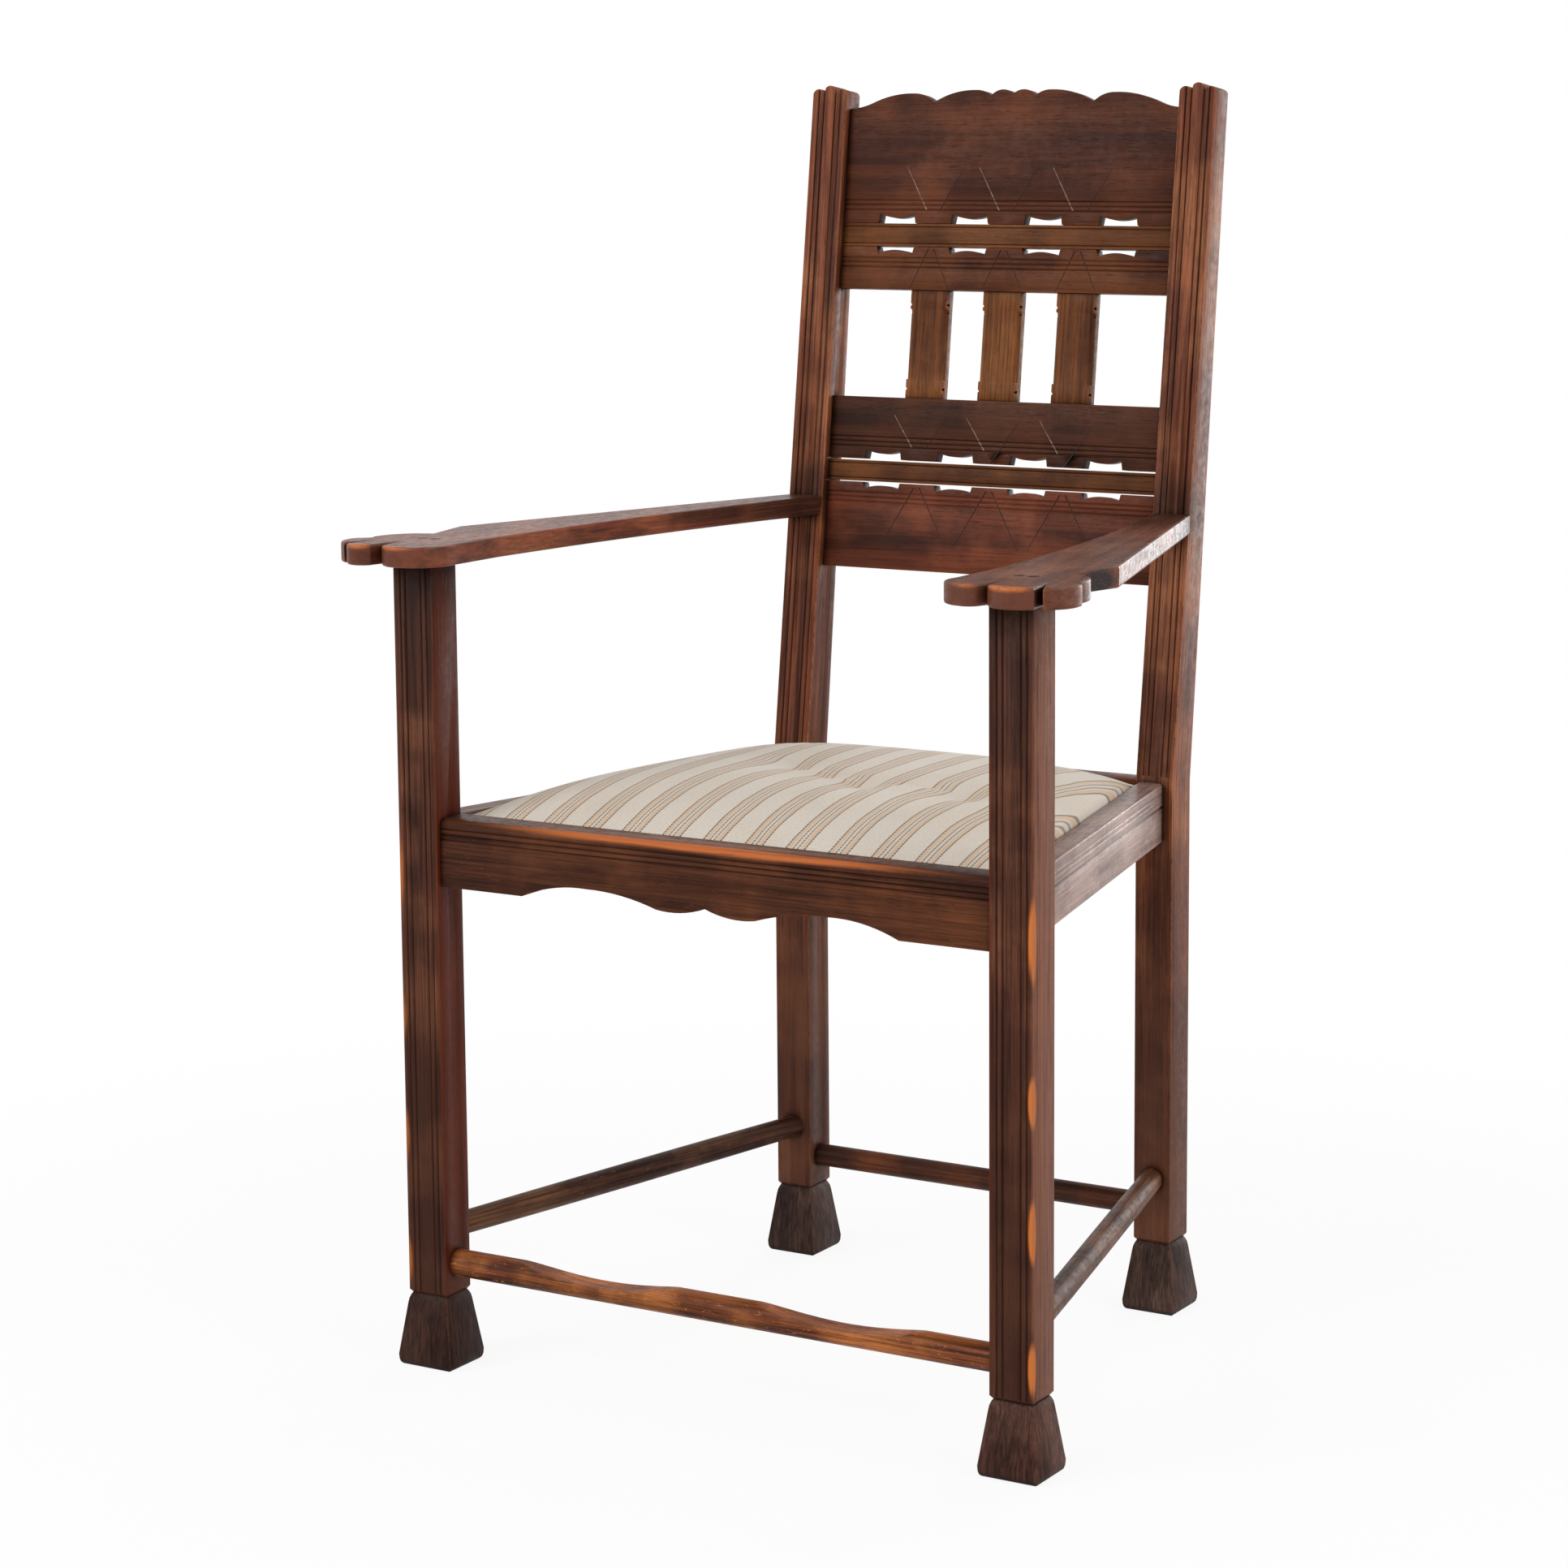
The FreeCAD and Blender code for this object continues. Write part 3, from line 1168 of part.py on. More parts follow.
def stretchers():
    """Four round stretchers; feet have worn two hollows into the front one."""
    cross = Vector(1, 0, 0)
    inner = float(LEG_INNER)
    height = float(size("front_stretcher_height"))
    radius = float(size("front_stretcher_radius"))
    bar = Part.makeCylinder(radius, 2 * inner, Vector(-inner, float(LEG_Y), height), cross)
    half = float(size("wear_half_length"))
    deep = float(size("wear_depth"))
    sweep = (half * half + deep * deep) / (2 * deep)
    for side in (-1, 1):
        centre = Vector(side * float(size("wear_centre")), float(LEG_Y) - 2 * radius,
                        height + radius - deep + sweep)
        bar = bar.cut(Part.makeCylinder(sweep, 4 * radius, centre, Vector(0, 1, 0)))
    ends = [socket("front_tenon_right", Vector(inner, float(LEG_Y), height), cross, 0, Size(0)),
            socket("front_tenon_left", Vector(-inner, float(LEG_Y), height), -cross, 0, Size(0))]
    node("front_stretcher", joined("front_stretcher_whole", [solid("front_stretcher_bar", bar)] + ends))
    inner = float(POST_INNER)
    height = float(size("rear_stretcher_height"))
    bar = pin("rear_stretcher_bar", size("rear_stretcher_radius"), POST_INNER * 2,
              (-POST_INNER, POST_Y, size("rear_stretcher_height")), cross)
    ends = [socket("rear_tenon_right", Vector(inner, float(POST_Y), height), cross, 0, Size(0)),
            socket("rear_tenon_left", Vector(-inner, float(POST_Y), height), -cross, 0, Size(0))]
    node("rear_stretcher", joined("rear_stretcher_whole", [bar] + ends))
    front, rear = side_stretcher_axis()
    run = rear - front
    end = float(size("side_stretcher_end_radius"))
    middle = float(size("side_stretcher_radius"))
    spare = 2 * end
    shoulder = end + (middle - end) * 0.75
    stock = turned_bar((end, shoulder, middle, shoulder, end), run.Length + 2 * spare)
    stock.Placement = Placement(front - run * (spare / run.Length), Rotation(Vector(0, 0, 1), run))
    trim = box("side_stretcher_trim", (Size(0), LEG_OUTER), (LEG_BACK, POST_FACE),
               (Size(0), size("bend_height")))
    bar = common("side_stretcher_bar", solid("side_stretcher_stock", stock), trim)
    ends = [socket("side_tenon_front", front, front - rear, 0, Size(0)),
            socket("side_tenon_rear", rear, rear - front, 0, Size(0))]
    handed("side_stretcher", joined("side_stretcher_whole", [bar] + ends))


def seat_side(y):
    """Half width of the loose seat at a given y."""
    return inner_side(y) - size("seat_play")


SEAT_FRONT = LEG_BACK + size("seat_play")
SEAT_REAR = POST_FACE - size("seat_play")
BAR_FRONT_IN = SEAT_FRONT + size("seat_bar_width")
BAR_REAR_IN = SEAT_REAR - size("seat_bar_width")


def seat_frame():
    """Four doweled bars of the loose seat."""
    for name, near, far in (("front", SEAT_FRONT, BAR_FRONT_IN), ("rear", BAR_REAR_IN, SEAT_REAR)):
        corners = [(-seat_side(near), near), (seat_side(near), near), (seat_side(far), far),
                   (-seat_side(far), far)]
        bar = prism(f"seat_bar_{name}", "XY", corners, SEAT_BASE, BAR_TOP)
        bores = seat_pins(f"seat_bar_{name}_bore", PLAY, size("glue_room"))
        node(f"seat_frame_{name}", cut(f"seat_bar_{name}_cut", bar, bores))
    wide = size("seat_bar_width")
    corners = [(seat_side(BAR_FRONT_IN) - wide, BAR_FRONT_IN), (seat_side(BAR_FRONT_IN), BAR_FRONT_IN),
               (seat_side(BAR_REAR_IN), BAR_REAR_IN), (seat_side(BAR_REAR_IN) - wide, BAR_REAR_IN)]
    bar = prism("seat_bar_side", "XY", corners, SEAT_BASE, BAR_TOP)
    bores = seat_pins("seat_bar_side_bore", PLAY, size("glue_room"))
    handed("seat_frame_side", cut("seat_bar_side_cut", bar, bores))
    node("seat_frame_dowels", group("seat_frame_dowel_group", seat_pins("seat_dowel", 0, Size(0))))


def seat_pins(name, play, room):
    """Two dowels at each corner of the seat frame, or the bores for them."""
    half = size("seat_pin_length") / 2 + room
    height = SEAT_BASE + size("seat_bar_thick") / 2
    pins = []
    for end, joint in (("front", BAR_FRONT_IN), ("rear", BAR_REAR_IN)):
        for index, share in enumerate((0.3, 0.7)):
            x = seat_side(joint) - size("seat_bar_width") * share
            right = pin(f"{name}_{end}_{index}", size("seat_pin_radius") + play, half * 2,
                        (x, joint - half, height), Vector(0, 1, 0))
            pins += [right, mirrored(f"{name}_{end}_{index}_left", right)]
    return pins


def webbing():
    """Jute straps over the seat frame: four from front to back, four across on top of them."""
    strap = size("strap_width")
    thick = size("strap_thick")
    straps = []
    first = (seat_side(SEAT_REAR) - strap) / 3
    for index in (-3, -1, 1, 3):
        middle = first * index
        straps.append(box(f"long_strap_{index + 3}", (middle - strap / 2, middle + strap / 2),
                          (SEAT_FRONT + OVER, SEAT_REAR - OVER), (BAR_TOP, BAR_TOP + thick)))
    node("seat_webbing_long", group("long_straps", straps))
    straps = []
    gap = (SEAT_REAR - SEAT_FRONT - OVER * 2 - strap) / 3
    for index in range(4):
        near = SEAT_FRONT + OVER + gap * index
        far = near + strap
        corners = [(-seat_side(near) + OVER, near), (seat_side(near) - OVER, near),
                   (seat_side(far) - OVER, far), (-seat_side(far) + OVER, far)]
        straps.append(prism(f"cross_strap_{index}", "XY", corners, BAR_TOP + thick, BAR_TOP + thick * 2))
    node("seat_webbing_cross", group("cross_straps", straps))


CUSHION_BASE = BAR_TOP + size("strap_thick") * 2 + size("hessian_thick")


def hessian():
    """Cloth between the webbing and the stuffing."""
    corners = [(-seat_side(SEAT_FRONT), SEAT_FRONT), (seat_side(SEAT_FRONT), SEAT_FRONT),
               (seat_side(SEAT_REAR), SEAT_REAR), (-seat_side(SEAT_REAR), SEAT_REAR)]
    low = BAR_TOP + size("strap_thick") * 2
    node("seat_hessian", prism("hessian_sheet", "XY", corners, low, CUSHION_BASE))


def cushion_section(y, edge, crown):
    """Closed section across the cushion: flat base, steep drawn-in sides, crowned top."""
    base = float(CUSHION_BASE)
    half = float(seat_side(Size(y)))
    rim = base + edge
    side = [(half, rim), (0.955 * half, rim + 0.5 * crown), (0.87 * half, rim + 0.7 * crown)]
    top = [side[-1], (0.47 * half, rim + 0.965 * crown), (0, rim + crown)]
    right = [[Vector(x, y, z) for x, z in points] for points in (side, top)]
    left = [[Vector(-point.x, y, point.z) for point in reversed(points)] for points in reversed(right)]
    foot_right = Vector(half, y, base)
    foot_left = Vector(-half, y, base)
    edges = [Part.LineSegment(foot_left, foot_right).toShape(),
             Part.LineSegment(foot_right, right[0][0]).toShape()]
    edges += [Part.Arc(*points).toShape() for points in right + left]
    edges.append(Part.LineSegment(left[-1][-1], foot_left).toShape())
    return Part.Wire(edges)


def cushion():
    """Stuffed cushion under its striped cover, crowned and pressed in across the middle."""
    front = float(SEAT_FRONT)
    run = float(SEAT_REAR) - front
    edge = float(size("cushion_edge"))
    crown = float(size("cushion_crown")) - edge
    pressed = 1 - float(size("cushion_crease")) / crown
    shares = ((0, 0.04), (0.03, 0.2), (0.08, 0.44), (0.16, 0.71), (0.27, 0.92), (0.37, 0.99),
              (0.43, pressed), (0.5, 1), (0.66, 1), (0.78, 0.92), (0.87, 0.73), (0.94, 0.43),
              (0.98, 0.18), (1, 0.04))
    rings = [cushion_section(front + run * share, edge, crown * rise) for share, rise in shares]
    node("seat_cushion", solid("cushion_loft", Part.makeLoft(rings, True, True)))


def build():
    """Model every sub-part."""
    feet()
    front_leg()
    rear_post()
    back()
    front_rail()
    rear_rail()
    side_rails()
    corner_blocks()
    block_screws()
    arms()
    arm_fasteners()
    stretchers()
    seat_frame()
    webbing()
    hessian()
    cushion()


def check():
    """Stop on any failed object or broken sub-part shape."""
    for thing in DOC.Objects:
        if "Invalid" in thing.State or "Error" in thing.State:
            raise RuntimeError(f"{thing.Name} failed: {thing.State}")
    for thing in NODES:
        if thing.Shape.isNull() or not thing.Shape.isValid() or not thing.Shape.Solids:
            raise RuntimeError(f"{thing.Label} has no sound shape")


def export():
    """Write one file for each sub-part."""
    os.makedirs("parts", exist_ok=True)
    for thing in NODES:
        thing.Shape.exportStep(f"parts/{thing.Label}.step")


build()
DOC.recompute()
check()
export()
whole_box = Part.makeCompound([thing.Shape for thing in NODES]).BoundBox
print(f"{len(NODES)} sub-parts, box {whole_box}")
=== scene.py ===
"""Looks of a high-back oak armchair: dark stain worn through on its edges, carved back, striped seat.

Lengths are metres in the chair's own frame, but for those that a docstring gives in millimetres. The
chair stands on z = 0 and faces -Y, and +X is on the right.
"""

import json
import logging
import math
from abc import ABC, abstractmethod
from collections.abc import Iterator
from contextlib import contextmanager
from dataclasses import dataclass
from enum import Enum
from itertools import product
from typing import ClassVar

import bpy
from mathutils import Matrix, Vector

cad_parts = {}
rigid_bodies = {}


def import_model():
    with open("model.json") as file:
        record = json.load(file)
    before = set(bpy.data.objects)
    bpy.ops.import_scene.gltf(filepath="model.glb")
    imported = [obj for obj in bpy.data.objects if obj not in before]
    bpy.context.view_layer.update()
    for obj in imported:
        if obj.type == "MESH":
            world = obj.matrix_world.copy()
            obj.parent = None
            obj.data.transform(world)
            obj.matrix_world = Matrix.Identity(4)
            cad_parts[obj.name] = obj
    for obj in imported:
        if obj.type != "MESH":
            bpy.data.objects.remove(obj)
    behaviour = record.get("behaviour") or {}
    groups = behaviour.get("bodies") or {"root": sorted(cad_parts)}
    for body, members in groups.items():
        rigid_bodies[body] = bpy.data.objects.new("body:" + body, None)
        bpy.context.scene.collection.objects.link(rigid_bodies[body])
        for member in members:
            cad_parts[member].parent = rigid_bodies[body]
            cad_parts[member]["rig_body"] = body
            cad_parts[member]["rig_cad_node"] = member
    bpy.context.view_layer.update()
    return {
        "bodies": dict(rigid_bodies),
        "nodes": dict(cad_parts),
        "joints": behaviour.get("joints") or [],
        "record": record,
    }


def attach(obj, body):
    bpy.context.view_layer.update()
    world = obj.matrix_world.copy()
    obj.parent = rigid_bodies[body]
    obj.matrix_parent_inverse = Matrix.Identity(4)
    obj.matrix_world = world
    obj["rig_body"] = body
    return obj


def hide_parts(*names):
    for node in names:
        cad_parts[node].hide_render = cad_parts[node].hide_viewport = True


LOG = logging.getLogger("armchair")
MM = 0.001
Thing = bpy.types.Object
Socket = bpy.types.NodeSocket
Colour = tuple[float, float, float, float]
Point = tuple[float, float, float]
Span = tuple[float, float]
Input = Socket | float | tuple[float, ...]

TIMES = {"operation": "MULTIPLY"}
TIMES_PLUS = {"operation": "MULTIPLY_ADD"}
PLUS = {"operation": "ADD"}
MINUS = {"operation": "SUBTRACT"}
LARGER = {"operation": "MAXIMUM"}
SIZE_OF = {"operation": "ABSOLUTE"}
WAVE = {"operation": "SINE"}
EASE = {"interpolation_type": "SMOOTHSTEP"}
TINT = {"data_type": "RGBA", "blend_type": "MIX"}
SHADE = {"data_type": "RGBA", "blend_type": "MULTIPLY"}


def linear(code: str) -> Colour:
    """Turn an sRGB hex colour into linear light.

    Args:
        code: Six hex digits after a hash sign.

    Returns:
        Red, green, blue and an alpha of 1.
    """
    shares = [int(code[start:start + 2], 16) / 255 for start in (1, 3, 5)]
    light = [s / 12.92 if s <= 0.04045 else ((s + 0.055) / 1.055) ** 2.4 for s in shares]
    return light[0], light[1], light[2], 1.0


class Grain(Enum):
    """Which way the wood's fibres run, as the turn that lays them along X, in degrees."""

    UPRIGHT = (0.0, 90.0, 0.0)
    CROSSWISE = (0.0, 0.0, 0.0)
    CLOSING_RIGHT = (0.0, 0.0, -103.5)
    CLOSING_LEFT = (0.0, 0.0, -76.5)

    def turn(self) -> Point:
        """Give the turn in radians."""
        return tuple(math.radians(angle) for angle in self.value)


SIDES = ((1, "right", Grain.CLOSING_RIGHT), (-1, "left", Grain.CLOSING_LEFT))


@dataclass(frozen=True)
class Mark:
    """A soft ellipsoid, in millimetres, that tints the wood, for marks of use and for painted shade and
    sheen.
    """

    centre: Point
    reach: Point
    colour: str
    strength: float


class Recipe:
    """A node tree while it is put together."""

    def __init__(self, tree: bpy.types.NodeTree) -> None:
        """Start with an empty tree.

        Args:
            tree: The tree of a material or of the world.
        """
        self.tree = tree
        self.tree.nodes.clear()

    def add(self, kind: str, settings: dict, links: dict[int | str, Input],
            out: int | str = 0) -> Socket | None:
        """Add one node with its settings, and link or set its inputs.

        Args:
            kind: The node's type name after "ShaderNode".
            settings: Properties of the node.
            links: Inputs by name or number; a socket is linked and anything else is set.
            out: Which output is wanted.

        Returns:
            The wanted output, or nothing where the node has none.
        """
        made = self.tree.nodes.new(f"ShaderNode{kind}")
        for name, value in settings.items():
            setattr(made, name, value)
        for key, value in links.items():
            if isinstance(value, Socket):
                self.tree.links.new(value, made.inputs[key])
            else:
                made.inputs[key].default_value = value
        return made.outputs[out] if made.outputs else None

    def tinted(self, body: Socket | Colour, colour: str, level: Socket, span: Span,
               most: float) -> Socket:
        """Lay a colour over another where a value calls for it.

        Args:
            body: The colour so far.
            colour: The colour laid over it.
            level: The value.
            span: The value where the colour starts to show, and where it shows most.
            most: Its share there.

        Returns:
            The new colour.
        """
        share = self.add("MapRange", EASE, {0: level, 1: span[0], 2: span[1], 3: 0.0, 4: most})
        return self.add("Mix", TINT, {0: share, 6: body, 7: linear(colour)}, 2)


@dataclass(frozen=True)
class Finish(ABC):
    """A surface that can be built as a material."""

    name: str

    @abstractmethod
    def skin(self, recipe: Recipe) -> Socket:
        """Add the surface's nodes.

        Args:
            recipe: The material's empty recipe.

        Returns:
            The shader.
        """

    def make(self) -> bpy.types.Material:
        """Build the material.

        Returns:
            The material.
        """
        material = bpy.data.materials.new(self.name)
        material.use_nodes = True
        recipe = Recipe(material.node_tree)
        recipe.add("OutputMaterial", {}, {0: self.skin(recipe)})
        return material


@dataclass(frozen=True)
class StainedOak(Finish):
    """Planed oak under dark walnut stain and old wax.

    The stain sits deep in the pores, streaks with the growth rings and is worn through to orange
    wood on edges; the wax gives a satin sheen that turns pale where the light grazes it. A span is
    where a noise, or an open-air share for edges and nooks, starts to count and counts in full.
    """

    grain: Grain
    seed: int = 0
    dark: str = "#38190d"
    middle: str = "#542a17"
    light: str = "#713d22"
    bare: str = "#b4622a"
    # Dark brown of dirt in the pores, also used to paint shade in nooks.
    dirt: str = "#120806"
    streak: float = 0.5
    fleck: float = 0.0
    wear: float = 0.7
    lean: float = 0.0
    bend: float = 470 * MM
    gloss: float = 0.42
    polish: float = 0.13
    marks: tuple[Mark, ...] = ()
    fibre_width: float = 1.9 * MM
    fibre_length: float = 80 * MM
    ring_width: float = 10 * MM
    ring_length: float = 420 * MM
    pore_width: float = 0.9 * MM
    pore_length: float = 14 * MM
    fleck_size: float = 3.5 * MM
    fleck_stretch: float = 3.5
    patch_scale: float = 13.0
    speckle_scale: float = 150.0
    edge_reach: float = 2.6 * MM
    nook_shade_reach: float = 8 * MM
    relief: float = 0.5 * MM
    ring_span: Span = (0.36, 0.62)
    patch_span: Span = (0.42, 0.68)
    fleck_span: Span = (0.6, 0.7)
    pore_span: Span = (0.57, 0.68)
    edge_span: Span = (0.76, 0.4)
    nook_shade_span: Span = (0.9, 0.3)
    mark_span: Span = (1.0, 0.3)

    def drawn(self, recipe: Recipe, along: Socket, wide: float, long: float, warp: float) -> Socket:
        """Make noise drawn out along the fibres.

        Args:
            recipe: The recipe in hand.
            along: Coordinates whose X runs with the fibres.
            wide: A streak's width.
            long: A streak's length.
            warp: How wavy the streaks are.

        Returns:
            The noise value.
        """
        squeezed = recipe.add("VectorMath", TIMES, {0: along, 1: (wide / long, 1.0, 1.0)})
        return recipe.add("TexNoise", {}, {"Vector": squeezed, "Scale": 1 / wide, "Detail": 4.0,
                                           "Roughness": 0.6, "Distortion": warp})

    def fibres_along(self, recipe: Recipe, place: Socket) -> Socket:
        """Lay the fibres along X, following a post's lean above its bend.

        Args:
            recipe: The recipe in hand.
            place: Object coordinates.

        Returns:
            Coordinates whose X runs with the fibres.
        """
        if self.lean:
            parts = [recipe.add("SeparateXYZ", {}, {0: place}, axis) for axis in range(3)]
            height = recipe.add("Math", MINUS, {0: parts[2], 1: self.bend})
            above = recipe.add("Math", LARGER, {0: height, 1: 0.0})
            set_back = recipe.add("Math", TIMES, {0: above, 1: math.tan(self.lean)})
            straight = recipe.add("Math", MINUS, {0: parts[1], 1: set_back})
            place = recipe.add("CombineXYZ", {}, {0: parts[0], 1: straight, 2: parts[2]})
        shift = (0.731 * self.seed, 0.367 * self.seed, 0.573 * self.seed)
        return recipe.add("Mapping", {}, {"Vector": place, "Location": shift,
                                          "Rotation": self.grain.turn()})

    def marked(self, recipe: Recipe, place: Socket, body: Socket, fibres: Socket) -> Socket:
        """Lay the marks over the wood, broken up along its fibres: marks of use, and painted shade and
        sheen.

        Args:
            recipe: The recipe in hand.
            place: Object coordinates.
            body: The wood's colour so far.
            fibres: The fibres' noise.

        Returns:
            The wood's colour with its marks.
        """
        broken = recipe.add("MapRange", EASE, {0: fibres, 1: 0.3, 2: 0.58, 3: 0.4, 4: 1.0})
        outer, inner = self.mark_span
        for mark in self.marks:
            centre = tuple(part * MM for part in mark.centre)
            shift = recipe.add("VectorMath", MINUS, {0: place, 1: centre})
            shares = tuple(1 / (reach * MM) for reach in mark.reach)
            scaled = recipe.add("VectorMath", TIMES, {0: shift, 1: shares})
            away = recipe.add("VectorMath", {"operation": "LENGTH"}, {0: scaled}, "Value")
            near = recipe.add("MapRange", EASE, {0: away, 1: outer, 2: inner, 3: 0.0, 4: mark.strength})
            share = recipe.add("Math", TIMES | {"use_clamp": True}, {0: near, 1: broken})
            body = recipe.add("Mix", TINT, {0: share, 6: body, 7: linear(mark.colour)}, 2)
        return body

    def skin(self, recipe: Recipe) -> Socket:
        """Lay stain, wear, marks, dirt in the pores and painted shade in nooks over the grain, under a
        coat of wax.

        Args:
            recipe: The material\'s recipe.

        Returns:
            The shader.
        """
        place = recipe.add("TexCoord", {}, {}, "Object")
        along = self.fibres_along(recipe, place)
        rings = self.drawn(recipe, along, self.ring_width, self.ring_length, 0.5)
        fibres = self.drawn(recipe, along, self.fibre_width, self.fibre_length, 0.15)
        pores = self.drawn(recipe, along, self.pore_width, self.pore_length, 0.0)
        patches = recipe.add("TexNoise", {}, {"Vector": along, "Scale": self.patch_scale, "Detail": 4.0})
        speckle = recipe.add("TexNoise", {}, {"Vector": along, "Scale": self.speckle_scale, "Detail": 4.0,
                                              "Roughness": 0.65})
        body = recipe.tinted(linear(self.dark), self.middle, rings, self.ring_span, 1.0)
        body = recipe.tinted(body, self.light, patches, self.patch_span, 0.6)
        shade = recipe.add("MapRange", EASE, {0: fibres, 1: 0.3, 2: 0.7, 3: 1.0 - self.streak * 0.75,
                                              4: 1.0 + self.streak * 0.6})
        body = recipe.add("Mix", SHADE, {0: 1.0, 6: body, 7: shade}, 2)
        if self.fleck:
            flecks = self.drawn(recipe, along, self.fleck_size, self.fleck_size * self.fleck_stretch, 1.2)
            body = recipe.tinted(body, self.light, flecks, self.fleck_span, self.fleck)
        first, last = self.pore_span
        open_pores = recipe.add("MapRange", EASE, {0: pores, 1: first, 2: last, 3: 0.0, 4: 1.0})
        share = recipe.add("Math", TIMES, {0: open_pores, 1: 0.45})
        body = recipe.add("Mix", TINT, {0: share, 6: body, 7: linear(self.dirt)}, 2)
        edge = recipe.add("AmbientOcclusion", {"inside": True, "only_local": True, "samples": 6},
                          {"Distance": self.edge_reach}, "AO")
        first, last = self.edge_span
        bared = recipe.add("MapRange", EASE, {0: edge, 1: first, 2: last, 3: 0.0, 4: self.wear})
        broken = recipe.add("MapRange", EASE, {0: speckle, 1: 0.4, 2: 0.6, 3: 0.1, 4: 1.0})
        bared = recipe.add("Math", TIMES, {0: bared, 1: broken})
        body = recipe.add("Mix", TINT, {0: bared, 6: body, 7: linear(self.bare)}, 2)
        body = self.marked(recipe, place, body, fibres)
        # Painted shade: nooks, crevices and joins between parts, where little open air is found, are
        # darkened towards the dirt colour.
        nook_shade = recipe.add("AmbientOcclusion", {"samples": 6}, {"Distance": self.nook_shade_reach}, "AO")
        body = recipe.tinted(body, self.dirt, nook_shade, self.nook_shade_span, 0.85)
        rough = recipe.add("MapRange", EASE, {0: speckle, 1: 0.3, 2: 0.7, 3: self.gloss - 0.07,
                                              4: self.gloss + 0.1})
        sunk = recipe.add("Math", TIMES, {0: open_pores, 1: -0.6})
        height = recipe.add("Math", TIMES_PLUS, {0: fibres, 1: 0.4, 2: sunk})
        bump = recipe.add("Bump", {}, {"Strength": 0.35, "Distance": self.relief, "Height": height})
        return recipe.add("BsdfPrincipled", {}, {"Base Color": body, "Roughness": rough, "IOR": 1.4,
                                                 "Specular IOR Level": self.polish, "Normal": bump})


@dataclass(frozen=True)
class PaleSoftwood(Finish):
    """Sawn, unstained pine: honey with age, soft brown growth lines, matt."""

    grain: Grain
    seed: int = 0
    pale: str = "#c49a66"
    line: str = "#8c5c33"
    soil: str = "#5b4330"
    ring_width: float = 5 * MM
    ring_length: float = 160 * MM

    def skin(self, recipe: Recipe) -> Socket:
        """Draw growth lines and old soil on pale wood.

        Args:
            recipe: The material\'s recipe.

        Returns:
            The shader.
        """
        place = recipe.add("TexCoord", {}, {}, "Object")
        shift = (0.41 * self.seed, 0.27 * self.seed, 0.0)
        along = recipe.add("Mapping", {}, {"Vector": place, "Location": shift,
                                           "Rotation": self.grain.turn()})
        shares = (self.ring_width / self.ring_length, 1.0, 1.0)
        squeezed = recipe.add("VectorMath", TIMES, {0: along, 1: shares})
        rings = recipe.add("TexNoise", {}, {"Vector": squeezed, "Scale": 1 / self.ring_width,
                                            "Detail": 3.0, "Distortion": 0.6})
        stains = recipe.add("TexNoise", {}, {"Vector": place, "Scale": 18.0, "Detail": 4.0})
        body = recipe.tinted(linear(self.pale), self.line, rings, (0.45, 0.66), 0.85)
        body = recipe.tinted(body, self.soil, stains, (0.45, 0.75), 0.55)
        bump = recipe.add("Bump", {}, {"Strength": 0.3, "Distance": 0.4 * MM, "Height": rings})
        return recipe.add("BsdfPrincipled", {}, {"Base Color": body, "Roughness": 0.75, "IOR": 1.5,
                                                 "Normal": bump})


@dataclass(frozen=True)
class GrooveFilling(Finish):
    """What years leave in a carved line: matt dirt or dried wax."""

    colour: str
    crumb: str = "#1c0f0a"

    def skin(self, recipe: Recipe) -> Socket:
        """Mix the filling with dark crumbs.

        Args:
            recipe: The material\'s recipe.

        Returns:
            The shader.
        """
        place = recipe.add("TexCoord", {}, {}, "Object")
        crumbs = recipe.add("TexNoise", {}, {"Vector": place, "Scale": 300.0, "Detail": 3.0})
        body = recipe.tinted(linear(self.colour), self.crumb, crumbs, (0.35, 0.65), 0.6)
        return recipe.add("BsdfPrincipled", {}, {"Base Color": body, "Roughness": 0.8})


